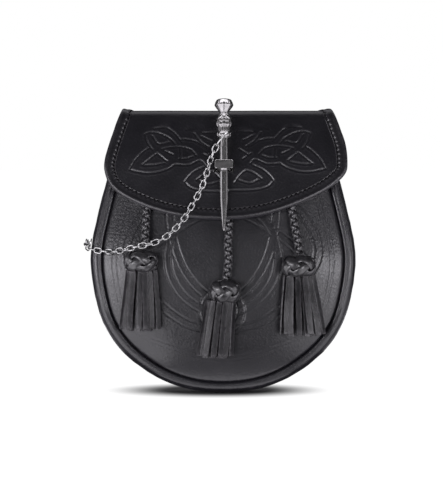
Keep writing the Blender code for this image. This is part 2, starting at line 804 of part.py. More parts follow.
def make_cord(side, tassel):
    route = smooth_curve(cord_points(tassel))
    points = evenly(route, max(round(length_of(route) / CORD_STEP) * 2, 8))
    curve = bpy.data.curves.new(f"plait_{side}", "CURVE")
    curve.dimensions = "3D"
    curve.bevel_depth = CORD_DIAMETER * 0.0005
    curve.bevel_resolution = 2
    curve.use_fill_caps = True
    curve.render_resolution_u = 0
    line = curve.splines.new("POLY")
    line.points.add(len(points) - 1)
    for spot, point in zip(line.points, points):
        spot.co = (*place_point(point), 1.0)
    curve.materials.append(material(LEATHER))
    made = bpy.data.objects.new(f"plait_{side}", curve)
    bpy.context.scene.collection.objects.link(made)
    return made


def make_knot(side, tassel):
    """A fat round knot, flatter towards the panel."""
    x, height, width, tall = tassel["knot"]
    y = panel_y(x, height) - TASSEL_OFF_PANEL - width * KNOT_DEPTH_SHARE / 2
    rings = []
    for lift, share in KNOT_ROWS:
        radius = width / 2 * share
        ring = []
        for k in range(KNOT_SIDES):
            angle = 2 * math.pi * k / KNOT_SIDES
            across, deep = radius * math.cos(angle), radius * KNOT_DEPTH_SHARE * math.sin(angle)
            ring.append((x + across, y + deep, height + tall * lift))
        rings.append(ring)
    return loft(f"tassel_knot_{side}", rings, LEATHER)


def make_skirt(side, tassel):
    """Strips side by side round a core, from a narrow head under the knot to a wider free end."""
    _, knot_height, _, tall = tassel["knot"]
    top_x, top, top_half, low_x, low, low_half = tassel["skirt"]
    top = min(top, knot_height - tall / 2 - GAP)
    rings = []
    for share, flare in SKIRT_ROWS:
        x = top_x + (low_x - top_x) * share
        height = top + (low - top) * share
        half = top_half + (low_half - top_half) * flare
        deep = half * SKIRT_DEPTH_SHARE
        y = panel_y(x, height) - TASSEL_OFF_PANEL - deep
        ring = []
        for k in range(SKIRT_STRIPS):
            for turn, reach in SKIRT_STRIP:
                angle = 2 * math.pi * (k + turn) / SKIRT_STRIPS
                ring.append((x + half * reach * math.cos(angle), y + deep * reach * math.sin(angle), height))
        rings.append(ring)
    return loft(f"tassel_skirt_{side}", rings, LEATHER, smooth_angle=25.0)


def make_strap_loop(name, x):
    """A strip of leather sewn down at both ends, standing off the back for the strap."""
    flat, bend, foot = LOOP_HALF_HEIGHTS
    near, far = BACK_Y + GAP, BACK_Y + LOOP_GAP
    outer = (
        (near, -foot),
        (near + SHEET, -foot),
        (near + SHEET, -bend - 2 * LOOP_CORNER),
        (far + SHEET, -flat),
        (far + SHEET, flat),
        (near + SHEET, bend + 2 * LOOP_CORNER),
        (near + SHEET, foot),
        (near, foot),
        (near, bend),
        (far, flat - LOOP_CORNER),
        (far, -flat + LOOP_CORNER),
        (near, -bend),
    )
    sides = (x - LOOP_WIDTH / 2, x + LOOP_WIDTH / 2)
    rings = [[(side, y, STRAP_HEIGHT + z) for y, z in outer] for side in sides]
    return loft(name, rings, LEATHER, smooth_angle=25.0)


def main():
    for old in list(bpy.data.objects):
        bpy.data.objects.remove(old)
    make_flap_and_back()
    make_flap_binding()
    make_gusset()
    make_front_panel()
    make_keeper_staple()
    make_closing_pin()
    make_jump_ring()
    make_chain_stud(make_chain())
    for side, tassel in TASSELS.items():
        make_cord(side, tassel)
        make_knot(side, tassel)
        make_skirt(side, tassel)
    make_strap_loop("strap_loop_left", -LOOP_X)
    make_strap_loop("strap_loop_right", LOOP_X)


main()
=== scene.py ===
import math

import bmesh
import bpy
import numpy as np
from mathutils import Matrix, Vector, noise
from mathutils.kdtree import KDTree


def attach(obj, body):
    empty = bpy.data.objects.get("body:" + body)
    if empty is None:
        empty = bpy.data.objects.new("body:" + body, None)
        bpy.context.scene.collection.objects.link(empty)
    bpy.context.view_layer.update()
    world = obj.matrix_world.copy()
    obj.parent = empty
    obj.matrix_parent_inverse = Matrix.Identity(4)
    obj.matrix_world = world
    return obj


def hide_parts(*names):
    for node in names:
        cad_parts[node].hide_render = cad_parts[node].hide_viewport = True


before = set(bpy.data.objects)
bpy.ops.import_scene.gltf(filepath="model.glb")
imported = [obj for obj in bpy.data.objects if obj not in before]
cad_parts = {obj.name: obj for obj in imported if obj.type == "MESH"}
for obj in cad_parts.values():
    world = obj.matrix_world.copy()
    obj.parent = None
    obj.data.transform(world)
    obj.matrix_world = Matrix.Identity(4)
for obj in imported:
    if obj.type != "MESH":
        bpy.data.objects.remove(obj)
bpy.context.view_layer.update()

# Sizes are in millimetres: x across, y into the picture, and heights from the bottom of the pouch.
# toFrame() turns them into metres from the line of the strap, as the CAD has them.

strapHeight = 160.0

# the pouch and its one sheet of leather, as the CAD has them
pouch = {
    "backY": -3.5,
    "sheet": 2.5,
    "wall": 2.0,
    "top": 176.0,
    "depthBelly": 38.0,
    "depthTop": 30.0,
    "bellyHeight": 80.0,
    "seam": (  # its right half from the bottom: across and height
        (0.0, 7.3), (21.8, 9.6), (41.0, 16.5), (58.0, 27.6), (70.0, 39.5), (79.0, 54.5),
        (84.3, 74.0), (86.7, 93.0), (85.4, 109.0), (81.2, 128.0), (76.2, 148.0), (69.0, 176.0),
    ),
    "gap": 0.3,
    "bulgeBottom": 7.3,
    "bulgeSide": 8.4,
    "bulgeRun": 60.0,
    "backMargin": 4.0,
    "edgeSunk": 2.0,
    "panelCentre": 85.0,
    "dome": (  # share of the way in from the panel's edge, and rise
        (0.0, 0.0), (0.015, 1.1), (0.04, 1.8), (0.10, 2.9), (0.16, 3.9),
        (0.22, 4.7), (0.32, 5.6), (0.50, 6.5), (0.70, 6.95), (1.0, 7.1),
    ),
}

flap = {
    "corners": (  # side view of the outer face: depth, height and corner radius
        (-3.5, 2.0, 0.0), (-3.5, 202.0, 12.0), (-31.0, 202.0, 12.0), (-47.0, 166.0, 90.0),
        (-58.2, 120.0, 0.0),
    ),
    "crown": 2.4,
    "crownHalfWidth": 85.0,
    "crownRun": 60.0,
    "outline": (  # height, left edge, right edge
        (202.0, -71.3, 76.6), (190.0, -76.2, 82.2), (178.0, -80.2, 86.2), (166.0, -83.4, 87.5),
        (158.0, -83.0, 86.0), (149.5, -79.3, 77.2), (142.5, -71.0, 65.2), (135.0, -54.9, 47.5),
        (130.0, -38.6, 31.5), (127.0, -20.8, 14.5),
    ),
    "underTop": 0.01,  # keeps the first of these heights just below the level top
    "tip": (-2.8, 126.0),
    "cornerHeight": 149.5,
    "backTopHalfWidth": 72.5,
    "backTopHeight": 187.0,
}


def toFrame(points):
    return (np.asarray(points, float).reshape(-1, 3) - (0, 0, strapHeight)) * 0.001


def smoothLine(points, steps=12):  # Catmull-Rom, as the CAD's curves
    points = np.asarray(points, float)
    ends = np.vstack((2 * points[0] - points[1], points, 2 * points[-1] - points[-2]))
    t = (np.arange(steps) / steps)[:, None]
    found = []
    for before, start, end, after in zip(ends, ends[1:], ends[2:], ends[3:]):
        bend = 2 * before - 5 * start + 4 * end - after
        twist = start * 3 + after - before - end * 3
        found.append(0.5 * (2 * start + (end - before) * t + bend * t**2 + twist * t**3))
    return np.vstack(found + [points[-1:]])


def wayAlong(line):
    return np.concatenate(([0.0], np.cumsum(np.linalg.norm(np.diff(line, axis=0), axis=1))))


def pointsAt(line, distances):
    way = wayAlong(line)
    return np.stack([np.interp(distances, way, line[:, k]) for k in range(line.shape[1])], axis=-1)


def sharesAt(line, shares):
    return pointsAt(line, np.asarray(shares) * wayAlong(line)[-1])


def unitRows(vectors):
    return vectors / np.linalg.norm(vectors, axis=1)[:, None]


def waysOut(line):  # away from the pouch, for a line that runs round it from its left top
    run = np.gradient(line, axis=0)
    return unitRows(np.stack((run[:, 1], -run[:, 0]), axis=1))


def ease(share):
    share = np.clip(share, 0.0, 1.0)
    return share * share * (3 - 2 * share)


def bump(value, middle, width):
    return np.exp(-(((value - middle) / width) ** 2))


def softNoise(points, size, seed):
    shift = Vector((seed, seed * 0.7, -seed * 1.3))
    places = np.asarray(points, float).reshape(-1, 3)
    return np.array([noise.noise(Vector(p) / size + shift) for p in places])


# The pouch's surfaces


def seamLine(count):
    half = np.array(pouch["seam"])
    left = half[:0:-1] * (-1, 1)
    return sharesAt(smoothLine(np.vstack((left, half))), np.linspace(0, 1, count))


def insideDepth(height):
    share = ease((np.asarray(height) - pouch["bellyHeight"]) / (pouch["top"] - pouch["bellyHeight"]))
    return pouch["depthBelly"] + (pouch["depthTop"] - pouch["depthBelly"]) * share


def seamY(height):
    return pouch["backY"] - pouch["sheet"] - insideDepth(height)


def panelOutline(count):
    line = seamLine(321)
    edge = line - waysOut(line) * pouch["gap"] / 2
    closed = np.vstack((edge, edge[:1]))
    return sharesAt(closed, np.arange(count) / count)


panelCentre = np.array((0.0, pouch["panelCentre"]))
panelRim = panelOutline(720) - panelCentre
rimAngles = np.arctan2(panelRim[:, 1], panelRim[:, 0])
rimOrder = np.argsort(rimAngles)
rimAngles, rimRadii = rimAngles[rimOrder], np.linalg.norm(panelRim, axis=1)[rimOrder]
domeLine = smoothLine(pouch["dome"])


def panelShare(x, height):  # 0 at the panel's edge, 1 at its middle
    away = np.asarray(height) - panelCentre[1]
    edge = np.interp(np.arctan2(away, x), rimAngles, rimRadii, period=2 * math.pi)
    return 1 - np.hypot(x, away) / edge


def panelY(x, height):
    rise = np.interp(panelShare(x, height), domeLine[:, 0], domeLine[:, 1])
    return seamY(height) + pouch["edgeSunk"] - rise


def sheetProfile(stepAngle=2.5, stepLength=1.5):
    corners = [Vector(c[:2]) for c in flap["corners"]]
    points = [corners[0]]
    for i in range(1, len(corners) - 1):
        radius = flap["corners"][i][2]
        into, away = (corners[i] - corners[i - 1]).normalized(), (corners[i + 1] - corners[i]).normalized()
        turn = into.angle_signed(away)
        start = corners[i] - into * radius * math.tan(abs(turn) / 2)
        side = Vector((into.y, -into.x)) * math.copysign(1.0, turn)
        middle = start + side * radius
        count = math.ceil(abs(math.degrees(turn)) / stepAngle)
        for k in range(count + 1):
            arm = (start - middle).copy()
            arm.rotate(Matrix.Rotation(-turn * k / count, 2))
            points.append(middle + arm)
    points.append(corners[-1])
    line = np.array([tuple(p) for p in points])
    length = wayAlong(line)[-1]
    return pointsAt(line, np.union1d(wayAlong(line), np.arange(0, length, stepLength)))


sheetLine = sheetProfile()
sheetWay = wayAlong(sheetLine)
sheetInto = -waysOut(sheetLine)
levelTop = np.flatnonzero(sheetLine[:, 1] > sheetLine[:, 1].max() - 1e-6)
crownStart = sheetWay[levelTop[0]]


def onSheet(x, way, into=0.0):  # x across, way along the sheet from its back, into its thickness
    y = np.interp(way, sheetWay, sheetLine[:, 0]) + np.interp(way, sheetWay, sheetInto[:, 0]) * into
    z = np.interp(way, sheetWay, sheetLine[:, 1]) + np.interp(way, sheetWay, sheetInto[:, 1]) * into
    over = flap["crown"] * ease((way - crownStart) / flap["crownRun"]) * (x / flap["crownHalfWidth"]) ** 2
    return np.stack(np.broadcast_arrays(x, y + over, z), axis=-1)


def wayToBack(height):
    return np.interp(height, sheetLine[: levelTop[0] + 1, 1], sheetWay[: levelTop[0] + 1])


def wayToFront(height):
    return np.interp(-np.asarray(height), -sheetLine[levelTop[-1]:, 1], sheetWay[levelTop[-1]:])


def flapY(x, height):
    return float(onSheet(x, wayToFront(height))[1])


def flapEdge(side):  # (x, way) from the back's top over the fold to the flap's tip
    column = 1 if side < 0 else 2
    points = [(side * flap["backTopHalfWidth"], float(wayToBack(flap["backTopHeight"])))]
    points += [(row[column], float(wayToFront(row[0] - flap["underTop"]))) for row in flap["outline"]]
    points.append((flap["tip"][0], float(wayToFront(flap["tip"][1]))))
    return smoothLine(points)


# Meshes and pieces


def gridFaces(rows, columns, start=0, closedRows=False, closedColumns=False):
    r = np.arange(rows if closedRows else rows - 1)[:, None]
    c = np.arange(columns if closedColumns else columns - 1)[None, :]
    nextR, nextC = (r + 1) % rows, (c + 1) % columns
    corners = (r * columns + c, r * columns + nextC, nextR * columns + nextC, nextR * columns + c)
    return (np.stack(np.broadcast_arrays(*corners), axis=-1).reshape(-1, 4) + start).tolist()


def sweptShell(rings, closed=False):  # a shell through rings of points, capped unless it closes on itself
    rings = np.asarray(rings, float)
    rows, columns = rings.shape[:2]
    faces = gridFaces(rows, columns, closedRows=closed, closedColumns=True)
    if not closed:
        faces += [list(range(columns)), list(range((rows - 1) * columns, rows * columns))]
    return rings.reshape(-1, 3), faces


def joinShells(shells):
    points, faces, start = [], [], 0
    for shellPoints, shellFaces in shells:
        points.append(shellPoints)
        faces += [[i + start for i in face] for face in shellFaces]
        start += len(shellPoints)
    return np.vstack(points), faces


def meshPiece(name, shell, material, sharpAngle):  # one object from points in millimetres and faces
    points, faces = shell
    bm = bmesh.new()
    corners = [bm.verts.new(p) for p in toFrame(points)]
    for face in faces:
        bm.faces.new([corners[i] for i in face])
    bmesh.ops.recalc_face_normals(bm, faces=bm.faces)
    mesh = bpy.data.meshes.new(name)
    bm.to_mesh(mesh)
    bm.free()
    mesh.shade_smooth()
    mesh.set_sharp_from_angle(angle=math.radians(sharpAngle))
    mesh.materials.append(material)
    piece = bpy.data.objects.new(name, mesh)
    bpy.context.scene.collection.objects.link(piece)
    return piece


def deselectAll():
    for thing in bpy.context.selected_objects:
        thing.select_set(False)


def pick(piece):
    deselectAll()
    piece.select_set(True)
    bpy.context.view_layer.objects.active = piece


# Each of these has its own lamps
litPieces = {name: bpy.data.collections.new(name) for name in ("leather", "pin", "chain")}
lampsOfSlot = {"silver_metal": "pin", "chain_metal": "chain"}  # every other slot has the leather's lamps


def finishPiece(piece, slot, *nodes):
    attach(piece, "root")
    litPieces[lampsOfSlot.get(slot, "leather")].objects.link(piece)
    if nodes:
        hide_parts(*nodes)


def softPiece(name, shell, material, sharpAngle, slot, *nodes):
    piece = meshPiece(name, shell, material, sharpAngle)
    finishPiece(piece, slot, *nodes)
    return piece


def metalPiece(piece, material, smoothAngle, slot, *nodes):
    bpy.ops.object.shade_smooth_by_angle(angle=math.radians(smoothAngle))
    piece.data.materials.append(material)
    finishPiece(piece, slot, *nodes)


def applyModifier(piece, kind, **values):
    pick(piece)
    modifier = piece.modifiers.new(kind.lower(), kind)
    for key, value in values.items():
        setattr(modifier, key, value)
    bpy.ops.object.modifier_apply(modifier=modifier.name)


def choose(piece, kind, test):  # selects, in edit mode, only the verts, edges or faces that pass the test
    bm = bmesh.from_edit_mesh(piece.data)
    for items in (bm.verts, bm.edges, bm.faces):
        for item in items:
            item.select_set(False)
    for item in getattr(bm, kind):
        if test(item):
            item.select_set(True)
    if kind == "verts":
        bm.select_flush(True)
    bmesh.update_edit_mesh(piece.data)


def editMode(piece):
    pick(piece)
    bpy.ops.object.mode_set(mode="EDIT")
    bpy.ops.mesh.select_mode(type="VERT")


def objectMode():
    bpy.ops.object.mode_set(mode="OBJECT")


def cleanShell(piece):  # merges doubles, turns faces outwards and puts the object at the origin
    pick(piece)
    bpy.ops.object.transform_apply(location=True, rotation=True, scale=True)
    editMode(piece)
    bpy.ops.mesh.select_all(action="SELECT")
    bpy.ops.mesh.remove_doubles(threshold=1e-6)
    bpy.ops.mesh.normals_make_consistent(inside=False)
    objectMode()


def joinPieces(name, pieces):
    deselectAll()
    for piece in pieces:
        piece.select_set(True)
    bpy.context.view_layer.objects.active = pieces[0]
    bpy.ops.object.join()
    pieces[0].name = name
    return pieces[0]


# Camera

cameraPlace = {
    "frameHeight": 503,  # pixels
    "pixel": 0.719,  # mm of the pouch
    "middle": (-1.15, -25.0, 100.8),
    "distance": 3500.0,
    "elevation": 1.5,
    "sensor": 36.0,
    "clip": (0.1, 20.0),  # metres
}


def addCamera():
    camera = bpy.data.cameras.new("camera")
    camera.sensor_width = cameraPlace["sensor"]
    tall = cameraPlace["frameHeight"] * cameraPlace["pixel"]
    camera.lens = camera.sensor_width * cameraPlace["distance"] / tall
    camera.clip_start, camera.clip_end = cameraPlace["clip"]
    made = bpy.data.objects.new("camera", camera)
    bpy.context.scene.collection.objects.link(made)
    up = math.radians(cameraPlace["elevation"])
    target = Vector(toFrame(cameraPlace["middle"])[0])
    made.location = target + Vector((0, -math.cos(up), math.sin(up))) * cameraPlace["distance"] * 0.001
    made.rotation_euler = (math.radians(90.0) - up, 0.0, 0.0)
    bpy.context.scene.camera = made


addCamera()


# Materials


def newGroup(name, inputs, outputs):
    group = bpy.data.node_groups.new(name, "ShaderNodeTree")
    for label, kind, value in inputs:
        socket = group.interface.new_socket(name=label, in_out="INPUT", socket_type=kind)
        socket.default_value = value
    for label, kind in outputs:
        group.interface.new_socket(name=label, in_out="OUTPUT", socket_type=kind)
    return group, group.nodes.new("NodeGroupInput"), group.nodes.new("NodeGroupOutput")


def addNode(tree, kind, inputs=None, **settings):
    node = tree.nodes.new(kind)
    for key, value in settings.items():
        setattr(node, key, value)
    for key, value in (inputs or {}).items():
        if isinstance(value, bpy.types.NodeSocket):
            tree.links.new(value, node.inputs[key])
        else:
            node.inputs[key].default_value = value
    return node


def mathNode(tree, operation, first, second=0.0, third=0.0):
    inputs = {0: first, 1: second, 2: third}
    return addNode(tree, "ShaderNodeMath", inputs, operation=operation).outputs[0]


def rangeNode(tree, value, low, high, toLow=0.0, toHigh=1.0):
    inputs = {"Value": value, "From Min": low, "From Max": high, "To Min": toLow, "To Max": toHigh}
    return addNode(tree, "ShaderNodeMapRange", inputs).outputs["Result"]


def mixColours(tree, share, first, second):
    return addNode(tree, "ShaderNodeMix", {0: share, 6: first, 7: second}, data_type="RGBA").outputs[2]


grainShape = {
    "smoothness": 0.6,
    "poresPerCell": 3.1,
    "poreRim": 0.32,
    "cellRim": 0.7,
    "poreShare": 0.35,
    "tones": {"Scale": 38.0, "Detail": 5.0, "Roughness": 0.6},
}


def makeGrainGroup():  # pores and pebbles of tanned leather, with slow changes of tone
    inputs = (("Size", "NodeSocketFloat", 0.0011), ("Seed", "NodeSocketFloat", 0.0))
    outputs = [(name, "NodeSocketFloat") for name in ("Height", "Tone", "Pores")]
    group, given, result = newGroup("leatherGrain", inputs, outputs)
    place = addNode(group, "ShaderNodeTexCoord").outputs["Object"]
    perMetre = mathNode(group, "DIVIDE", 1.0, given.outputs["Size"])
    cells = addNode(group, "ShaderNodeTexVoronoi", {
        "Vector": place, "Scale": perMetre, "Smoothness": grainShape["smoothness"],
    }, feature="SMOOTH_F1").outputs["Distance"]
    fine = mathNode(group, "MULTIPLY", perMetre, grainShape["poresPerCell"])
    pores = addNode(group, "ShaderNodeTexVoronoi", {"Vector": place, "Scale": fine}, feature="F1")
    holes = rangeNode(group, pores.outputs["Distance"], 0.0, grainShape["poreRim"])
    toned = addNode(group, "ShaderNodeTexNoise", {
        "Vector": place, "W": given.outputs["Seed"], **grainShape["tones"],
    }, noise_dimensions="4D").outputs["Fac"]
    cellHeight = rangeNode(group, cells, 0.0, grainShape["cellRim"], 1.0, 0.0)
    cellHeight = mathNode(group, "MULTIPLY", cellHeight, 1 - grainShape["poreShare"])
    height = mathNode(group, "MULTIPLY_ADD", holes, grainShape["poreShare"], cellHeight)
    group.links.new(height, result.inputs["Height"])
    group.links.new(toned, result.inputs["Tone"])
    group.links.new(mathNode(group, "SUBTRACT", 1.0, holes), result.inputs["Pores"])
    return group


def makeWearAndPaintedLightGroup():  # polished, lighter edges (wear and a painted highlight) and darker recesses (dirt and painted shade), from the shape's own bends
    inputs = (("Edge", "NodeSocketFloat", 0.53), ("Recess", "NodeSocketFloat", 0.47))
    outputs = (("WornAndHighlit", "NodeSocketFloat"), ("DirtAndShade", "NodeSocketFloat"))
    group, given, result = newGroup("edgeWearAndPaintedLight", inputs, outputs)
    place = addNode(group, "ShaderNodeTexCoord").outputs["Object"]
    bends = addNode(group, "ShaderNodeNewGeometry").outputs["Pointiness"]
    patches = addNode(group, "ShaderNodeTexNoise", {"Vector": place, "Scale": 420.0, "Detail": 4.0})
    edge = rangeNode(group, bends, 0.5, given.outputs["Edge"])
    wornAndHighlit = mathNode(group, "MULTIPLY", edge, rangeNode(group, patches.outputs["Fac"], 0.3, 0.62))
    # Concave places: dirt and a painted shade in recesses
    dirtAndShade = rangeNode(group, bends, 0.5, given.outputs["Recess"])
    group.links.new(wornAndHighlit, result.inputs["WornAndHighlit"])
    group.links.new(dirtAndShade, result.inputs["DirtAndShade"])
    return group


grainGroup = makeGrainGroup()
wearAndPaintedLightGroup = makeWearAndPaintedLightGroup()


def newMaterial(name):
    made = bpy.data.materials.new(name)
    made.use_nodes = True
    return made, made.node_tree, made.node_tree.nodes["Principled BSDF"]


def setSockets(shader, values):
    for name, value in values.items():
        shader.inputs[name].default_value = value


def addRelief(tree, shader, height, strength, distance):
    relief = addNode(tree, "ShaderNodeBump", {"Height": height, "Strength": strength, "Distance": distance})
    tree.links.new(relief.outputs["Normal"], shader.inputs["Normal"])


leatherLook = {
    "tones": (0.3, 0.7),  # the part of the slow noise that goes from dark to light
    "rubbedAndHighlightShare": 0.6,
    "poreRoughness": 0.12,
    "reliefDepth": 0.00018,
    "coatRoughness": 0.28,
    "sheenTint": (0.72, 0.7, 0.86, 1.0),
}


def leatherMaterial(name, finish):
    made, tree, shader = newMaterial(name)
    grainInputs = {"Size": finish["grain"], "Seed": finish["seed"]}
    grain = addNode(tree, "ShaderNodeGroup", grainInputs, node_tree=grainGroup)
    wearAndPaintedLight = addNode(tree, "ShaderNodeGroup", {"Edge": finish["edge"]}, node_tree=wearAndPaintedLightGroup)
    tone = rangeNode(tree, grain.outputs["Tone"], *leatherLook["tones"])
    toned = mixColours(tree, tone, finish["dark"], finish["light"])
    # Convex edges are mixed to a lighter colour: rubbed wear and a painted highlight
    wornAndHighlit = mathNode(tree, "MULTIPLY", wearAndPaintedLight.outputs["WornAndHighlit"], leatherLook["rubbedAndHighlightShare"])
    tree.links.new(mixColours(tree, wornAndHighlit, toned, finish["rubbedAndHighlight"]), shader.inputs["Base Color"])
    rough = rangeNode(tree, grain.outputs["Tone"], *leatherLook["tones"], *finish["roughness"])
    rough = mathNode(tree, "MULTIPLY_ADD", grain.outputs["Pores"], leatherLook["poreRoughness"], rough)
    tree.links.new(rough, shader.inputs["Roughness"])
    addRelief(tree, shader, grain.outputs["Height"], finish["relief"], leatherLook["reliefDepth"])
    setSockets(shader, {
        "Specular IOR Level": finish["shine"],
        "Coat Weight": finish["coat"],
        "Coat Roughness": leatherLook["coatRoughness"],
        "Sheen Weight": finish["sheen"],
        "Sheen Tint": leatherLook["sheenTint"],
    })
    made.diffuse_color = finish["dark"]
    return made


# Each rubbed colour is the lighter colour of worn edges, and it also paints highlights on them
bodyLeather = leatherMaterial("bodyLeather", {
    "grain": 0.0017, "seed": 0.0, "edge": 0.56, "relief": 0.60, "coat": 0.15, "sheen": 0.02, "shine": 0.5,
    "dark": (0.0056, 0.0053, 0.0070, 1.0), "light": (0.0092, 0.0088, 0.0112, 1.0),
    "rubbedAndHighlight": (0.050, 0.047, 0.052, 1.0), "roughness": (0.27, 0.36),
})
trimLeather = leatherMaterial("trimLeather", {
    "grain": 0.0009, "seed": 3.0, "edge": 0.56, "relief": 0.45, "coat": 0.25, "sheen": 0.03, "shine": 0.5,
    "dark": (0.0050, 0.0047, 0.0062, 1.0), "light": (0.0085, 0.0080, 0.0100, 1.0),
    "rubbedAndHighlight": (0.060, 0.056, 0.062, 1.0), "roughness": (0.30, 0.40),
})
laceLeather = leatherMaterial("laceLeather", {
    "grain": 0.0008, "seed": 7.0, "edge": 0.55, "relief": 0.30, "coat": 0.6, "sheen": 0.0, "shine": 0.5,
    "dark": (0.0048, 0.0045, 0.0055, 1.0), "light": (0.0090, 0.0086, 0.0100, 1.0),
    "rubbedAndHighlight": (0.050, 0.048, 0.052, 1.0), "roughness": (0.26, 0.36),
})
stripLeather = leatherMaterial("stripLeather", {
    "grain": 0.0009, "seed": 11.0, "edge": 0.54, "relief": 0.45, "coat": 0.0, "sheen": 0.01, "shine": 0.28,
    "dark": (0.0036, 0.0034, 0.0042, 1.0), "light": (0.0072, 0.0070, 0.0080, 1.0),
    "rubbedAndHighlight": (0.100, 0.096, 0.102, 1.0), "roughness": (0.27, 0.37),
})


threadLook = {
    "ply": {"Scale": 620.0, "Distortion": 2.0},
    "dark": (0.0016, 0.0016, 0.0020, 1.0),
    "light": (0.005, 0.0045, 0.0055, 1.0),
    "roughness": (0.85, 0.7),
    "shine": 0.06,
    "relief": (1.0, 0.0001),  # strength and depth
}


def threadMaterial():
    made, tree, shader = newMaterial("waxedThread")
    place = addNode(tree, "ShaderNodeTexCoord").outputs["Object"]
    ply = addNode(tree, "ShaderNodeTexWave", {"Vector": place, **threadLook["ply"]}).outputs["Fac"]
    tone = mixColours(tree, ply, threadLook["dark"], threadLook["light"])
    tree.links.new(tone, shader.inputs["Base Color"])
    rough = rangeNode(tree, ply, 0.0, 1.0, *threadLook["roughness"])
    tree.links.new(rough, shader.inputs["Roughness"])
    setSockets(shader, {"Specular IOR Level": threadLook["shine"]})
    addRelief(tree, shader, ply, *threadLook["relief"])
    return made


metalLook = {
    "haze": {"Scale": 260.0, "Detail": 6.0},
    "hazeRange": (0.35, 0.7),
    "brushing": (1.0, 1.0, 0.12),  # the scratches run upright
    "scratches": {"Scale": 2600.0, "Detail": 3.0},
    "scratchRange": (0.3, 0.7),
    "dirtRoughness": 0.25,
    "wornRoughness": -0.06,
    "relief": (0.25, 0.00005),  # strength and depth
}


def metalMaterial(name, finish):
    made, tree, shader = newMaterial(name)
    wearInputs = {"Edge": finish["edge"], "Recess": finish["recess"]}
    wearAndPaintedLight = addNode(tree, "ShaderNodeGroup", wearInputs, node_tree=wearAndPaintedLightGroup)
    wornAndHighlit, dirtAndShade = wearAndPaintedLight.outputs["WornAndHighlit"], wearAndPaintedLight.outputs["DirtAndShade"]
    place = addNode(tree, "ShaderNodeTexCoord").outputs["Object"]
    haze = addNode(tree, "ShaderNodeTexNoise", {"Vector": place, **metalLook["haze"]}).outputs["Fac"]
    brushed = addNode(tree, "ShaderNodeMapping", {"Vector": place, "Scale": metalLook["brushing"]}).outputs[0]
    scratches = addNode(tree, "ShaderNodeTexNoise", {"Vector": brushed, **metalLook["scratches"]})
    scratches = scratches.outputs["Fac"]
    dulled = rangeNode(tree, haze, *metalLook["hazeRange"])
    clean = mixColours(tree, dulled, finish["bright"], finish["dull"])
    # Recesses go towards the dark colour: tarnish and dirt, together with painted shade
    agedAndShaded = mixColours(tree, mathNode(tree, "MULTIPLY", dirtAndShade, finish["dirtAndShadeShare"]), clean, finish["dark"])
    tree.links.new(agedAndShaded, shader.inputs["Base Color"])
    rough = rangeNode(tree, scratches, *metalLook["scratchRange"], *finish["roughness"])
    rough = mathNode(tree, "MULTIPLY_ADD", dirtAndShade, metalLook["dirtRoughness"], rough)
    rough = mathNode(tree, "MULTIPLY_ADD", wornAndHighlit, metalLook["wornRoughness"], rough)
    tree.links.new(rough, shader.inputs["Roughness"])
    setSockets(shader, {"Metallic": 1.0})
    addRelief(tree, shader, scratches, *metalLook["relief"])
    made.diffuse_color = finish["bright"]
    return made


stitchThread = threadMaterial()
# The dark colour is where recesses go: tarnish and dirt, with painted shade
antiqueSilver = metalMaterial("antiqueSilver", {
    "edge": 0.56, "recess": 0.44, "dirtAndShadeShare": 0.92, "roughness": (0.15, 0.25),
    "bright": (0.56, 0.55, 0.55, 1.0), "dull": (0.42, 0.41, 0.41, 1.0), "dark": (0.05, 0.048, 0.05, 1.0),
})
chainMetal = metalMaterial("chainMetal", {
    "edge": 0.60, "recess": 0.40, "dirtAndShadeShare": 0.35, "roughness": (0.14, 0.22),
    "bright": (0.88, 0.88, 0.87, 1.0), "dull": (0.74, 0.74, 0.74, 1.0), "dark": (0.16, 0.16, 0.16, 1.0),
})


# Plaited cords and their tassels

cordShape = {
    "diameter": 5.5,
    "behindPanel": 2.0,
    "endUp": 3.0,
    "out": 0.5,
    "toKnot": 0.6,
    "step": 0.45,
    "pitch": 12.0,  # of one turn of a strand
    "strandRadius": 1.9,
    "weave": 0.6,
    "strand": (3.2, 1.7),  # width and thickness
    "squareness": 0.8,
}
tassels = {
    "left": {
        "cord": ((-53.6, 145.0), (-54.2, 137.0), (-54.9, 127.0), (-55.4, 116.0), (-56.2, 104.6)),
        "knot": (-58.8, 94.6, 25.6, 17.6),
        "skirt": (-58.2, 86.0, 9.8, -59.0, 44.6, 13.2),
        "seed": 4,
        "phase": 3.48,
    },
    "middle": {
        "cord": ((3.6, 133.5), (4.0, 124.0), (4.1, 114.8), (3.4, 106.0), (3.8, 96.0), (2.3, 81.4)),
        "knot": (1.4, 73.2, 23.0, 18.0),
        "skirt": (-1.6, 64.4, 9.6, -5.8, 25.2, 11.4),
        "seed": 9,
        "phase": 2.7,
    },
    "right": {
        "cord": ((47.2, 145.0), (48.4, 136.0), (50.4, 124.0), (52.6, 112.0), (54.4, 101.0)),
        "knot": (54.0, 91.2, 25.4, 17.6),
        "skirt": (54.6, 82.6, 10.0, 56.8, 41.0, 15.0),
        "seed": 15,
        "phase": 2.43,
    },
}
knotShape = {
    "depthShare": 0.72,
    "offPanel": 0.5,
    "lace": (6.2, 2.2),  # width and thickness
    "lacePoints": 420,
    "laceCorners": 10,
    "rise": 0.74,  # how far up and down the ball the lace runs
    "stretch": 1.15,
    "lift": 0.8,  # how far it dips where it goes under
    "core": 0.78,
    "coreRows": (-1.45, 1.45, 15),
    "coreColumns": 28,
}
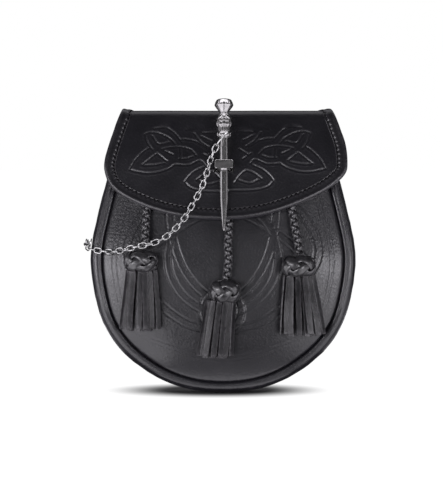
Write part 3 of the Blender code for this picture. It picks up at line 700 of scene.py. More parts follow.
skirtShape = {
    "depthShare": 0.6,
    "intoKnot": 2.2,
    "lowest": 14.0,
    "layers": ((13, 1.0, 0.965), (8, 0.62, 1.0)),  # strips, share of the skirt's width, share of its length
    "rows": 22,
    "flare": ((0.0, 0.18, 0.45, 0.75, 1.0), (0.0, 0.16, 0.50, 0.82, 1.0)),  # way down and share of the spread
    "widths": (3.9, 4.7),
    "lengths": (0.985, 1.0),
    "narrowTop": ((0.0, 0.12, 1.0), (0.82, 1.0, 1.0)),
    "thickness": 1.5,
    "facing": 0.45,
    "yaw": 0.2,
    "stagger": 0.7,
    "unevenness": 0.14,
    "swing": 0.05,
    "ripple": 0.4,
    "rippleTurns": (2.0, 5.0),
    "rippleStart": (0.0, 6.0),
    "section": ((-1, -0.4), (-0.88, -1), (-0.72, -1.06), (0, -1.14), (0.72, -1.06), (0.88, -1), (1, -0.4),
                (1, 0.4), (0.88, 1), (0.72, 1.04), (0, 1.08), (-0.72, 1.04), (-0.88, 1), (-1, 0.4)),
}


def cordRoute(tassel):
    points = tassel["cord"]
    lie = cordShape["diameter"] / 2 + knotShape["offPanel"]
    knotX, knotHeight, width, _ = tassel["knot"]
    knotY = panelY(knotX, knotHeight) - knotShape["offPanel"] - width * knotShape["depthShare"] / 2
    (x, height), rest = points[0], points[1:]
    face = float(panelY(x, height))
    behind = face + pouch["wall"] + cordShape["behindPanel"]
    found = [(x, behind, height + cordShape["endUp"]), (x, face + cordShape["out"], height)]
    for x, height in rest:
        share = float(ease((rest[0][1] - height) / (rest[0][1] - rest[-1][1])))
        face = float(panelY(x, height)) - lie
        found.append((x, face + (knotY - face) * share * cordShape["toKnot"], height))
    return smoothLine(found)


def ribbonRings(centres, outwards, width, thickness, corners=8):
    run = unitRows(np.gradient(centres, axis=0))
    across = unitRows(np.cross(run, outwards))
    out = np.cross(across, run)
    turns = 2 * math.pi * np.arange(corners) / corners
    flat = np.sign(np.cos(turns)) * np.abs(np.cos(turns)) ** cordShape["squareness"]
    sides = across[:, None, :] * (flat * width / 2)[None, :, None]
    faces = out[:, None, :] * (np.sin(turns) * thickness / 2)[None, :, None]
    return centres[:, None, :] + sides + faces


def makePlait(side, tassel):
    route = cordRoute(tassel)
    length = wayAlong(route)[-1]
    distances = np.linspace(0, length, int(length / cordShape["step"]))
    path = pointsAt(route, distances)
    run = unitRows(np.gradient(path, axis=0))
    front = unitRows(np.cross(run, (1.0, 0.0, 0.0)))
    right = np.cross(front, run)
    turn = 2 * math.pi * distances / cordShape["pitch"]
    shells = []
    for way in (1, -1):
        for start in (0.0, math.pi):
            angle = way * turn + start + math.pi / 4
            radius = cordShape["strandRadius"] + way * cordShape["weave"] * np.cos(2 * turn)
            out = right * np.cos(angle)[:, None] + front * np.sin(angle)[:, None]
            centres = path + out * radius[:, None]
            shells.append(sweptShell(ribbonRings(centres, out, *cordShape["strand"])))
    shell = joinShells(shells)
    return softPiece(f"plaitedCord_{side}", shell, laceLeather, 70.0, "leather_lace", f"plait_{side}"), route


def onBall(rise, turn):
    parts = (np.cos(rise) * np.cos(turn), np.cos(rise) * np.sin(turn), np.sin(rise))
    return np.stack(np.broadcast_arrays(*parts), axis=-1)


def makeKnot(side, tassel):  # a three-lead, five-bight woven knot on a flattened ball
    x, height, width, tall = tassel["knot"]
    deep = width * knotShape["depthShare"]
    middle = np.array((x, float(panelY(x, height)) - knotShape["offPanel"] - deep / 2, height))
    half = np.array((width, deep, tall)) / 2 - knotShape["lace"][1] / 2
    turn = np.linspace(0, 6 * math.pi, knotShape["lacePoints"], endpoint=False)
    rise = knotShape["rise"] * np.cos(5 * turn / 3 + tassel["phase"])
    lift = knotShape["lift"] * (np.sin(10 * turn / 3 + 2 * tassel["phase"]) - 1)
    out = onBall(rise, turn) * (1.0, 1.0, knotShape["stretch"])
    outwards = unitRows(out / half)
    centres = middle + out * half + outwards * lift[:, None]
    closed, closedOut = (np.vstack((part[-1:], part, part[:1])) for part in (centres, outwards))
    rings = ribbonRings(closed, closedOut, *knotShape["lace"], knotShape["laceCorners"])[1:-1]
    around = 2 * math.pi * np.arange(knotShape["coreColumns"]) / knotShape["coreColumns"]
    rows = np.linspace(*knotShape["coreRows"])
    core = [middle + onBall(up, around) * half * knotShape["core"] for up in rows]
    shell = joinShells([sweptShell(rings, closed=True), sweptShell(core)])
    return softPiece(f"wovenKnot_{side}", shell, laceLeather, 70.0, "leather_lace", f"tassel_knot_{side}")


def skirtStrip(tassel, angle, layer, off, rng):
    topX, top, topHalf, lowX, low, lowHalf = tassel["skirt"]
    top += skirtShape["intoKnot"]
    _, shrink, cut = layer
    width = rng.uniform(*skirtShape["widths"])
    length = cut * rng.uniform(*skirtShape["lengths"])
    shares = np.linspace(0, 1, skirtShape["rows"])
    flare = np.interp(shares, *skirtShape["flare"])
    half = (topHalf + (lowHalf - topHalf) * flare) * shrink - skirtShape["thickness"] / 2
    height = top + (low - top) * shares * length
    x = topX + (lowX - topX) * shares
    deep = half * skirtShape["depthShare"]
    back = panelY(x, np.maximum(height, skirtShape["lowest"])) - knotShape["offPanel"] - deep / shrink
    swing = angle + rng.uniform(-skirtShape["swing"], skirtShape["swing"]) * shares
    wave = shares * rng.uniform(*skirtShape["rippleTurns"]) + rng.uniform(*skirtShape["rippleStart"])
    ripple = off + skirtShape["ripple"] * np.sin(wave) * shares
    y = back + (deep + ripple) * np.sin(swing)
    centres = np.stack((x + (half + ripple) * np.cos(swing), y, height), axis=1)
    facing = skirtShape["facing"] * np.sign(np.sin(angle))  # strips turn flat to the front and the back
    outwards = (np.cos(swing) * skirtShape["depthShare"], np.sin(swing) + facing, 0 * swing)
    outwards = unitRows(np.stack(outwards, axis=1))
    across = np.cross(outwards, (0.0, 0.0, 1.0))
    yaw = rng.uniform(-1, 1) * skirtShape["yaw"] + rng.uniform(-1, 1) * skirtShape["yaw"] * shares
    outwards = outwards * np.cos(yaw)[:, None] + across * np.sin(yaw)[:, None]
    across = np.cross(outwards, (0.0, 0.0, 1.0))
    wide = width / 2 * np.interp(shares, *skirtShape["narrowTop"])
    thick = skirtShape["thickness"] / 2
    rings = [centres + across * (wide * a)[:, None] + outwards * (thick * b)
             for a, b in skirtShape["section"]]
    return sweptShell(np.stack(rings, axis=1))


def makeSkirt(side, tassel):
    rng = np.random.default_rng(tassel["seed"])
    uneven = skirtShape["unevenness"]
    shells = []
    for layer in skirtShape["layers"]:
        for k in range(layer[0]):
            angle = 2 * math.pi * (k + 0.5 + rng.uniform(-uneven, uneven)) / layer[0]
            off = skirtShape["stagger"] * (-1) ** k
            shells.append(skirtStrip(tassel, angle, layer, off, rng))
    shell = joinShells(shells)
    name, node = f"tasselStrips_{side}", f"tassel_skirt_{side}"
    return softPiece(name, shell, stripLeather, 35.0, "leather_lace", node)


def makeTassels():
    for side, tassel in tassels.items():
        plait, route = makePlait(side, tassel)
        knot = makeKnot(side, tassel)
        skirt = makeSkirt(side, tassel)
    print("tassels made")


makeTassels()


# Tooled lines in the leather

flapTooling = {
    "middle": 3.2,
    "leftDrop": 0.8,  # the left half of the pattern sits a little lower
    "width": 0.67,
    "depth": 0.40,
    "strokes": (  # distance from the middle and height, drawn once for both sides
        ((69.2, 160.3), (59.9, 158.4), (51.2, 158.6), (42.6, 161.2), (37.6, 164.4)),
        ((56.0, 176.2), (60.0, 173.5), (65.6, 167.9), (69.9, 160.7)),
        ((50.5, 172.2), (60.6, 164.2)),
        ((44.8, 165.4), (52.7, 164.0), (59.6, 163.8)),
        ((49.6, 171.6), (43.3, 166.6)),
        ((22.5, 170.8), (26.8, 175.1), (34.0, 176.8), (41.2, 176.5), (46.9, 175.2)),
        ((24.7, 170.0), (29.7, 168.4), (34.7, 168.4)),
        ((34.0, 175.5), (33.5, 168.6)),
        ((37.5, 164.4), (31.0, 163.9), (26.8, 164.3), (19.7, 167.2), (16.4, 164.2)),
        ((15.3, 176.4), (22.5, 180.7), (29.7, 182.2), (34.2, 181.9)),
        ((59.3, 185.9), (55.0, 187.2), (48.5, 186.3), (41.3, 182.8), (37.7, 178.9)),
        ((59.3, 185.7), (57.6, 180.3), (53.8, 174.8)),
        ((54.2, 185.0), (49.4, 179.0), (41.8, 180.2)),
        ((52.6, 190.0), (44.8, 190.6), (39.8, 188.2), (36.0, 184.5), (32.6, 180.4)),
        ((45.4, 174.2), (39.0, 171.4)),
        ((24.0, 186.6), (19.6, 180.9), (13.2, 176.6)),
        ((19.0, 184.6), (11.4, 181.0)),
        ((29.5, 189.0), (17.5, 191.0)),
        ((17.5, 186.8), (7.0, 187.2)),
        ((8.5, 174.6), (14.8, 170.6)),
        ((10.8, 167.3), (17.0, 171.8)),
    ),
    "lowMiddle": 4.3,
    "lowStrokes": (
        ((16.6, 163.4), (24.3, 159.7), (29.2, 155.3), (31.7, 151.9)),
        ((31.7, 151.9), (28.0, 148.1), (20.4, 145.8), (9.3, 145.1), (0.0, 145.0)),
        ((3.8, 150.4), (8.3, 156.4), (11.9, 159.4)),
        ((12.4, 159.4), (17.5, 157.6), (23.1, 153.4)),
        ((6.8, 152.3), (14.8, 150.3), (21.2, 152.9)),
    ),
}

panelTooling = {
    "width": 0.62,
    "depth": 0.22,
    "borders": ((0.09, 0.205), (0.128, 0.242)),  # shares of the way in at the sides and at the bottom
    "borderTurn": (0.5, 0.42),
    "borderDepth": 0.15,
    "borderWidth": 0.6,
    "borderRim": (0.2, 1.4, 0.5),  # height, distance and width of the swell beside a border line
    "bandsInside": 0.03,
    "rings": ((0.0, 97.0, 39.6), (-0.6, 59.0, 13.8)),  # middle and radius
    "bandWidth": 5.2,
    "bands": (  # right halves of the bands' middle lines, from the middle of the panel
        ((0.0, 66.0), (10.0, 69.0), (20.0, 77.0), (28.5, 89.0), (34.2, 103.0), (37.4, 118.0), (39.0, 138.0)),
        ((0.0, 132.0), (10.0, 129.8), (25.0, 122.4), (44.0, 110.2), (54.0, 100.5), (58.0, 94.0)),
        (
            (0.0, 44.6), (11.6, 46.0), (25.8, 50.0), (39.9, 59.2), (52.5, 72.0), (62.0, 86.0), (67.0, 96.0),
            (67.5, 106.0), (64.0, 116.5), (57.0, 128.0), (48.0, 138.0),
        ),
    ),
}


def denseLine(points, step=0.2):
    line = smoothLine(points) if len(points) > 2 else np.asarray(points, float)
    return sharesAt(line, np.linspace(0, 1, int(wayAlong(line)[-1] / step) + 2))


def flapStrokes():
    found = []
    for strokes, middle in (("strokes", "middle"), ("lowStrokes", "lowMiddle")):
        for stroke in flapTooling[strokes]:
            line = denseLine(stroke)
            for side, drop in ((-1, flapTooling["leftDrop"]), (1, 0.0)):
                found.append(line * (side, 1) + (flapTooling[middle], -drop))
    return found


weaving = {  # in points of a band's middle line, but for near and room, which are millimetres
    "near": 0.22,
    "apart": 60,
    "skip": 12,
    "reach": 60,
    "span": 40,
    "room": 0.35,
}
grooveRim = (0.22, 2.1, 0.8)  # height, distance and width of the swell beside a line, as shares of the line's


def circleLine(x, height, radius, count=800):
    turn = np.linspace(0, 2 * math.pi, count)
    return np.stack((x + radius * np.cos(turn), height + radius * np.sin(turn)), axis=1)


def panelBands():  # middle lines of the interlaced bands
    found = [circleLine(*ring) for ring in panelTooling["rings"]]
    for half in panelTooling["bands"]:
        right = np.array(half)
        found.append(denseLine(np.vstack((right[:0:-1] * (-1, 1), right)), 0.25))
    return found


def treeOf(points):
    tree = KDTree(len(points))
    for number, (x, height) in enumerate(points):
        tree.insert((x, height, 0.0), number)
    tree.balance()
    return tree


def crossings(lines):  # where middle lines meet: line, place along it, what it meets, whether it goes over
    owners = [(which, i) for which, line in enumerate(lines) for i in range(len(line))]
    tree = treeOf(np.vstack(lines))
    found = []
    for which, line in enumerate(lines):
        over, last = True, -math.inf
        for i, (x, height) in enumerate(line):
            near = [owners[k] for _, k, _ in tree.find_range((x, height, 0.0), weaving["near"])]
            other = [n for n in near if n[0] != which or abs(n[1] - i) > weaving["apart"]]
            if other and i - last > weaving["skip"]:
                found.append((which, i, other[0], over))
                over = not over
            if other:
                last = i
    return found


def bandEdges(lines, width):  # both edges of every band, left out where the band goes under another
    meets = crossings(lines)
    reach, span = weaving["reach"], weaving["span"]
    edges = []
    for which, line in enumerate(lines):
        out = waysOut(line)
        hidden = [(i, lines[other][max(j - span, 0):j + span])
                  for owner, i, (other, j), over in meets if owner == which and not over]
        for side in (-1, 1):
            edge = line + out * side * width / 2
            shown = np.ones(len(edge), bool)
            for i, overLine in hidden:
                near = np.arange(max(i - reach, 0), min(i + reach, len(edge)))
                away = np.linalg.norm(edge[near][:, None] - overLine[None], axis=2).min(axis=1)
                shown[near[away < width / 2 + weaving["room"]]] = False
            ends = np.flatnonzero(np.diff(np.concatenate(([0], shown.astype(int), [0]))))
            for a, b in zip(ends[::2], ends[1::2]):
                if b - a > 3:
                    edges.append(denseLine(edge[a:b:3] if b - a > 9 else edge[a:b]))
    return edges


def groove(points, lines, width, depth):  # how deep the tooled lines press each (x, height) point in
    tree = treeOf(np.vstack(lines))
    away = np.array([tree.find((x, height, 0.0))[2] for x, height in points])
    rimHigh, rimAway, rimWide = grooveRim
    return depth * (bump(away, 0.0, width) - rimHigh * bump(away, rimAway * width, rimWide * width))


# Front panel

panelMesh = {
    "columns": 880,
    "firstShares": (0.0, 0.004, 0.009, 0.015, 0.022, 0.03, 0.038, 0.046),
    "shareStep": 0.0074,
    "lastShare": 0.985,
    "halvings": (0.45, 0.72, 0.88),  # shares where every second column ends
    "calmRows": 4,
    "waves": (34.0, 2.0, 0.55, 0.3),  # size, seed, height, and the share over which they come in
    "innerStep": 8,
    "innerShares": (0.0, 0.02, 0.05, 0.1, 0.2, 0.35, 0.55, 0.75, 0.9),
    "slot": (6.4, 14.0, 12.0),  # width, depth of the cut and height
    "slotLow": 1.0,
}


def panelShares():
    shares = list(panelMesh["firstShares"])
    while shares[-1] + panelMesh["shareStep"] < panelMesh["lastShare"]:
        shares.append(shares[-1] + panelMesh["shareStep"])
    return shares


def starMesh(outline, centre, shares, halvings):  # rows round a centre, with fewer columns further in
    points, faces, rows = [], [], []
    start = 0
    for share in shares:
        step = 2 ** sum(share > limit for limit in halvings)
        ring = outline[::step] * (1 - share) + centre * share
        points.append(ring)
        rows.append((start, len(ring)))
        start += len(ring)
    points.append(centre[None])
    for (first, count), (second, nextCount) in zip(rows, rows[1:]):
        for k in range(nextCount):
            after = (k + 1) % nextCount
            if count == nextCount:
                faces.append([first + k, first + after, second + after, second + k])
            else:
                a, b, c = first + 2 * k, first + 2 * k + 1, first + (2 * k + 2) % count
                faces += [[a, b, second + k], [b, second + after, second + k], [b, c, second + after]]
    first, count = rows[-1]
    faces += [[first + k, first + (k + 1) % count, start] for k in range(count)]
    return np.vstack(points), faces


def panelRelief(flat):
    share = panelShare(*flat.T)
    away = np.hypot(flat[:, 0], flat[:, 1] - panelCentre[1])
    radius = away / np.maximum(1 - share, 0.02)
    pressed = np.zeros(len(flat))
    turnFrom, turnOver = panelTooling["borderTurn"]
    low = ease(((panelCentre[1] - flat[:, 1]) / np.maximum(away, 1.0) - turnFrom) / turnOver)
    rimHigh, rimAway, rimWide = panelTooling["borderRim"]
    for sideShare, bottomShare in panelTooling["borders"]:
        border = sideShare + (bottomShare - sideShare) * low
        offset = (share - border) * radius
        line = bump(offset, 0.0, panelTooling["borderWidth"]) - rimHigh * bump(offset, rimAway, rimWide)
        pressed += panelTooling["borderDepth"] * line
    edges = bandEdges(panelBands(), panelTooling["bandWidth"])
    inside = share > border + panelTooling["bandsInside"]
    pressed[inside] += groove(flat[inside], edges, panelTooling["width"], panelTooling["depth"])
    return pressed


def makeFrontPanel():
    outline = panelOutline(panelMesh["columns"])
    flat, faces = starMesh(outline, panelCentre, panelShares(), panelMesh["halvings"])
    y = panelY(*flat.T)
    y[: len(outline)] = seamY(outline[:, 1]) + pouch["edgeSunk"]
    calm = panelMesh["calmRows"] * len(outline)
    size, seed, high, fade = panelMesh["waves"]
    waves = np.zeros(len(flat))
    waves[calm:] = softNoise(np.stack((flat[:, 0], 0 * y, flat[:, 1]), axis=1)[calm:], size, seed)
    y = y + panelRelief(flat) - waves * high * ease(panelShare(*flat.T) / fade)
    outer = np.stack((flat[:, 0], y, flat[:, 1]), axis=1)
    step = panelMesh["innerStep"]
    coarse = outline[::step]
    innerFlat, innerFaces = starMesh(coarse, panelCentre, panelMesh["innerShares"], ())
    innerY = panelY(*innerFlat.T) + pouch["wall"]
    innerY[: len(coarse)] = seamY(coarse[:, 1]) + pouch["edgeSunk"] + pouch["wall"]
    inner = np.stack((innerFlat[:, 0], innerY, innerFlat[:, 1]), axis=1)
    start = len(outer)
    faces += [[i + start for i in face] for face in innerFaces]
    for k in range(len(coarse)):
        ring = [(step * k + j) % len(outline) for j in range(step + 1)]
        faces.append(ring + [start + (k + 1) % len(coarse), start + k])
    panel = meshPiece("tooledFront", (np.vstack((outer, inner)), faces), bodyLeather, 60.0)
    for tassel in tassels.values():
        x, height = tassel["cord"][0]
        cutSlot(panel, (x, float(panelY(x, height)), height - panelMesh["slotLow"]), panelMesh["slot"])
    finishPiece(panel, "leather_body", "front_panel")
    print("front panel made")


def cutSlot(target, place, size, tilt=0.0):
    deselectAll()
    bpy.ops.mesh.primitive_cube_add(size=1.0)
    cutter = bpy.context.object
    cutter.dimensions = [s * 0.001 for s in size]
    cutter.location = toFrame(place)[0]
    cutter.rotation_euler.x = math.radians(tilt)
    bpy.ops.object.transform_apply(location=True, rotation=True, scale=True)
    applyModifier(target, "BOOLEAN", object=cutter, operation="DIFFERENCE", solver="EXACT")
    bpy.data.objects.remove(cutter)


makeFrontPanel()


# Gusset

gussetShape = {
    "rings": 261,
    "section": (  # out from the seam and back from it
        (-4.0, 5.2), (-1.6, 4.9), (-0.1, 3.9), (0.15, 2.1), (0.25, 0.8), (0.5, 0.0), (1.0, -0.42),
        (2.0, -0.6), (3.3, -0.62), (4.6, -0.42), (5.6, 0.0), (6.6, 0.98), (7.5, 2.75), (8.1, 5.2), (8.4, 9.0),
    ),
    "fold": (2.7, 0.48, 0.6),  # how far out, half width and depth of the line where the lip turns over
    "foldBack": 2.0,
    "foldHeights": (48.0, 85.0),  # it fades in between these
    "backEdge": ((8.4, -14.0), (8.1, -9.0), (7.6, -5.0), (6.2, -1.8), (4.0, -0.5), (-4.0, -0.3)),
    "inside": (  # out from the seam, share of the depth, and back from there
        (-4.0, 1.0, -2.3), (3.6, 1.0, -2.3), (5.7, 1.0, -5.0), (6.4, 0.6, 0.0), (6.3, 0.0, 9.0),
        (5.0, 0.0, 4.2), (3.4, 0.0, 3.4), (2.4, 0.0, 6.6), (-4.0, 0.0, 7.2),
    ),
    "wrinkles": 0.45,
    "wrinkleSize": (13.0, 5.0),  # and seed
    "wrinkleStretch": (1.0, 0.45, 1.0),
    "wrinklesFrom": (4.6, 3.0),  # how far out they begin, and over how much they come in
    "wrinklesAbove": (6.0, 20.0),
}


def gussetSection(depth):
    front = smoothLine(gussetShape["section"], 5)
    back = smoothLine([(away, depth + to) for away, to in gussetShape["backEdge"]], 3)
    side = np.linspace(front[-1], back[0], 7)[1:-1]
    inside = [(away, depth * share + to) for away, share, to in gussetShape["inside"]]
    return np.vstack((front, side, back, inside))


def makeGusset():
    line = seamLine(gussetShape["rings"])
    out = waysOut(line)
    foldOut, foldHalf, foldDeep = gussetShape["fold"]
    low, high = gussetShape["foldHeights"]
    bottom, side = pouch["bulgeBottom"], pouch["bulgeSide"]
    rings = []
    for (x, height), away in zip(line, out):
        bulge = (bottom + (side - bottom) * min(abs(x) / pouch["bulgeRun"], 1.0)) / side
        reach, back = gussetSection(float(insideDepth(height))).T
        deep = foldDeep * float(ease((height - low) / (high - low)))
        fold = deep * bump(reach, foldOut, foldHalf) * (back < gussetShape["foldBack"])
        reach = np.where(reach > 0, reach * bulge, reach)
        y = float(seamY(height)) + back + fold
        rings.append(np.stack((x + away[0] * reach, y, height + away[1] * reach), axis=1))
    rings = np.array(rings)
    rough = softNoise(rings * gussetShape["wrinkleStretch"], *gussetShape["wrinkleSize"])
    start, over = gussetShape["wrinklesFrom"]
    outer = ease((gussetSection(pouch["depthBelly"])[:, 0] - start) / over)[None, :]
    fine = np.abs(gussetShape["wrinkles"] * rough.reshape(rings.shape[:2]) * outer)
    start, over = gussetShape["wrinklesAbove"]
    rings[:, :, 0] -= out[:, None, 0] * fine
    rings[:, :, 2] -= out[:, None, 1] * fine * ease((line[:, None, 1] - start) / over)
    softPiece("pouchGusset", sweptShell(rings), bodyLeather, 60.0, "leather_body", "gusset")
    print("gusset made")


makeGusset()


# Flap and back, one sheet

flapMesh = {
    "columns": 380,
    "foldRows": 26,
    "flapRows": 150,
    "foldEnd": 197.0,
    "backRows": (0, 0.965, 31),  # shares of the way down, but for the last rows
    "lastBackRows": (0.975, 0.984, 0.991, 0.996, 1.0),
    "rimPoints": 241,
    "rimSplit": 62,  # as many of them lie on either side of the back
    "tooledFrom": 10.0,
    "tooledBelow": 198.0,
    "waves": (30.0, 8.0, 0.35, 20.0),  # size, seed, height, and the way over which they come in
    "innerStep": 4,
}


def coonsPatch(top, bottom, left, right, across, down):
    u, v = across[None, :, None], down[:, None, None]
    topLine, bottomLine = sharesAt(top, across)[None], sharesAt(bottom, across)[None]
    leftLine, rightLine = sharesAt(left, down)[:, None], sharesAt(right, down)[:, None]
    sides = (1 - v) * topLine + v * bottomLine + (1 - u) * leftLine + u * rightLine
    ends = (1 - u) * (1 - v) * top[0] + u * (1 - v) * top[-1] + (1 - u) * v * bottom[0] + u * v * bottom[-1]
    return sides - ends


def flapSides():
    corner = float(wayToFront(flap["cornerHeight"]))
    found = []
    for side in (-1, 1):
        edge = flapEdge(side)
        split = int(np.argmax(edge[:, 1] >= corner))
        found.append((edge[: split + 1], edge[split:]))
    return found


def sheetGrid():  # (x, way) of every grid point, from the back's bottom over the fold to the flap's end
    (left, lowLeft), (right, lowRight) = flapSides()
    top = np.array((left[0], right[0]))
    across = np.linspace(0, 1, flapMesh["columns"])
    foldShare = float((wayToFront(flapMesh["foldEnd"]) - left[0][1]) / wayAlong(left)[-1])
    down = np.concatenate((np.linspace(0, foldShare, flapMesh["foldRows"], endpoint=False),
                           np.linspace(foldShare, 1, flapMesh["flapRows"])))
    front = coonsPatch(top, np.vstack((lowLeft, lowRight[-2::-1])), left, right, across, down)
    line = seamLine(flapMesh["rimPoints"])
    rim = line + waysOut(line) * pouch["backMargin"]
    rim = np.stack((rim[:, 0], wayToBack(rim[:, 1])), axis=1)
    split = flapMesh["rimSplit"]
    backLeft = np.vstack((top[:1], rim[: split + 1]))
    backRight = np.vstack((top[1:], rim[-split - 1:][::-1]))
    down = np.concatenate((np.linspace(*flapMesh["backRows"]), flapMesh["lastBackRows"]))
    back = coonsPatch(top, rim[split: -split], backLeft, backRight, across, down)
    return np.vstack((back[:0:-1], front))


def makeFlapAndBack():
    grid = sheetGrid()
    rows, columns = grid.shape[:2]
    x, way = grid.reshape(-1, 2).T
    shown = onSheet(x, way)
    tooled = (way > crownStart + flapMesh["tooledFrom"]) & (shown[:, 2] < flapMesh["tooledBelow"])
    into = np.zeros(len(way))
    marks = shown[tooled][:, (0, 2)]
    into[tooled] = groove(marks, flapStrokes(), flapTooling["width"], flapTooling["depth"])
    size, seed, high, over = flapMesh["waves"]
    into += high * softNoise(shown, size, seed) * ease((way - crownStart) / over)
    outer = onSheet(x, way, into)
    step = flapMesh["innerStep"]
    rowPicks = sorted(set(range(0, rows, step)) | {rows - 1})
    columnPicks = sorted(set(range(0, columns, step)) | {columns - 1})
    innerGrid = grid[rowPicks][:, columnPicks]
    inner = onSheet(innerGrid[..., 0], innerGrid[..., 1], pouch["sheet"]).reshape(-1, 3)
    innerRows, innerColumns = innerGrid.shape[:2]
    faces = gridFaces(rows, columns) + gridFaces(innerRows, innerColumns, len(outer))
    outerAt = np.arange(len(outer)).reshape(rows, columns)
    innerAt = len(outer) + np.arange(len(inner)).reshape(innerRows, innerColumns)
    for end in (0, -1):
        for picks, fine, coarse in ((rowPicks, outerAt[:, end], innerAt[:, end]),
                                    (columnPicks, outerAt[end], innerAt[end])):
            for k, (a, b) in enumerate(zip(picks, picks[1:])):
                faces.append([*fine[a:b + 1], coarse[k + 1], coarse[k]])
    piece = meshPiece("flapAndBack", (np.vstack((outer, inner)), faces), bodyLeather, 60.0)
    room = 2 * keeper["slotRoom"]
    size = (keeper["width"] + room, keeper["slotDepth"], keeper["tall"] + room)
    cutSlot(piece, onPin(0.0, pin["offFlap"], 0.0), size, pinTilt)
    finishPiece(piece, "leather_body", "flap_and_back")
    print("flap and back made")


# Closing pin, keeper and ring: places from the CAD

pin = {
    "top": 211.5,
    "x": 0.6,
    "offFlap": 5.6,
    "shaft": 3.05,
    "sides": 96,
    "bevel": 0.18,
}
keeper = {
    "height": 163.0,
    "width": 13.2,
    "tall": 6.5,
    "bar": 1.6,
    "leg": 1.7,
    "room": 0.5,
    "slotRoom": 0.6,
    "slotDepth": 14.0,
    "corner": 1.5,
    "legIn": 0.4,
    "footWidth": 20.0,
    "footThick": 1.4,
    "offPanel": 1.1,
    "overlap": 0.2,  # of the legs into the bar
    "barBevel": 0.5,
    "bevel": 0.3,
}
(flapUpperY, flapUpperZ), (flapLowerY, flapLowerZ) = flap["corners"][-2][:2], flap["corners"][-1][:2]
pinTilt = -math.degrees(math.atan2(flapUpperY - flapLowerY, flapUpperZ - flapLowerZ))


def onPin(x, y, below):  # a point beside the pin's axis, at a distance below the keeper
    lean = math.radians(-pinTilt)
    axisY = flapY(pin["x"], keeper["height"]) - pin["offFlap"]
    return (
        pin["x"] + x,
        axisY + y * math.cos(lean) - math.sin(lean) * below,
        keeper["height"] - y * math.sin(lean) - math.cos(lean) * below,
    )


makeFlapAndBack()


# Binding round the flap, with its stitches

binding = {
    "step": 0.55,
    "evenedOver": 13,  # points, so that the strip turns smoothly
    "section": (  # away from the flap's edge and into the leather from its outer face
        (-6.75, -0.06), (-6.65, -0.24), (-6.4, -0.36), (-6.1, -0.38), (-5.85, -0.24), (-5.55, -0.06),
        (-5.25, -0.3), (-4.95, -0.7), (-4.5, -0.95), (-3.7, -1.02), (-2.6, -1.0), (-1.7, -1.12), (-0.9, -1.4),
        (-0.2, -1.55), (0.5, -1.42), (1.05, -0.95), (1.4, -0.2), (1.45, 0.8), (1.45, 2.0), (1.2, 2.9),
        (0.6, 3.6), (-0.4, 3.9), (-3.0, 3.9), (-5.4, 3.85), (-5.95, 3.5), (-6.0, 2.6), (0.15, 2.6),
        (0.15, -0.08),
    ),
    "stitchAway": -5.5,
    "stitchInto": -0.12,
    "slant": 0.5,
    "pitch": 3.6,
    "pucker": 0.65,
    "puckerAway": -4.9,
    "puckerSize": (0.7, 0.75),  # across the strip and along it
    "stitch": (2.1, 0.55),
}


def edgeLine():
    right, left = flapEdge(1), flapEdge(-1)
    edge = np.vstack((right, left[-2::-1]))
    return sharesAt(edge, np.linspace(0, 1, int(wayAlong(edge)[-1] / binding["step"])))


def edgeOut(edge):
    count = binding["evenedOver"]
    run = np.pad(np.gradient(edge, axis=0), ((count // 2, count // 2), (0, 0)), mode="edge")
    run = np.stack([np.convolve(run[:, k], np.ones(count) / count, "valid") for k in (0, 1)], axis=1)
    return unitRows(np.stack((run[:, 1], -run[:, 0]), axis=1))


def makeBinding():
    edge = edgeLine()
    out = edgeOut(edge)
    way = wayAlong(edge)
    pitch = binding["pitch"]
    near = np.abs((way / pitch + 0.5) % 1.0 - 0.5) * pitch  # how far the next stitch is
    away, into = np.array(binding["section"]).T
    puckerWide, puckerLong = binding["puckerSize"]
    pinch = binding["pucker"] * bump(away, binding["puckerAway"], puckerWide) * (into < 0)
    rings = []
    for point, outwards, distance in zip(edge, out, near):
        x, along = point[:, None] + outwards[:, None] * away
        rings.append(onSheet(x, along, into + pinch * bump(distance, 0.0, puckerLong)))
    softPiece("flapBinding", sweptShell(rings), trimLeather, 60.0, "leather_trim", "flap_binding")
    seats = []
    for distance in np.arange(pitch / 2, way[-1], pitch):
        pair = []
        for end in (-0.5, 0.5):
            outwards = np.array([np.interp(distance, way, out[:, k]) for k in (0, 1)])
            reach = binding["stitchAway"] + end * binding["slant"]
            spot = pointsAt(edge, distance + end) + outwards * reach
            pair.append(onSheet(spot[0], spot[1], binding["stitchInto"]))
        seats.append(pair)
    makeStitches("bindingStitches", seats, binding["stitch"])
    print("binding made")


stitchEnds = {"sides": 8, "narrow": 0.55, "out": 1 / 8, "down": 1 / 3}  # shares of its length and thickness


def modelStitch(length, thick):  # a short round rod with drawn-in ends, along x
    deselectAll()
    bpy.ops.mesh.primitive_cylinder_add(vertices=stitchEnds["sides"], radius=thick * 0.0005,
                                        depth=length * 0.001, rotation=(0, math.pi / 2, 0))
    stitch = bpy.context.object
    bpy.ops.object.transform_apply(location=False, rotation=True, scale=False)
    editMode(stitch)
    narrow, down = stitchEnds["narrow"], thick * stitchEnds["down"] * 0.001
    for end in (-1, 1):
        choose(stitch, "verts", lambda vert: vert.co.x * end > length * 0.0005 - 1e-5)
        bpy.ops.transform.resize(value=(1.0, narrow, narrow))
        bpy.ops.transform.translate(value=(end * length * stitchEnds["out"] * 0.001, 0, -down))
    bpy.ops.mesh.select_all(action="SELECT")
    bpy.ops.mesh.subdivide(number_cuts=1, smoothness=1.0)
    objectMode()
    shape = np.array([tuple(v.co) for v in stitch.data.vertices]) * 1000
    faces = [list(p.vertices) for p in stitch.data.polygons]
    bpy.data.objects.remove(stitch)
    return shape, faces


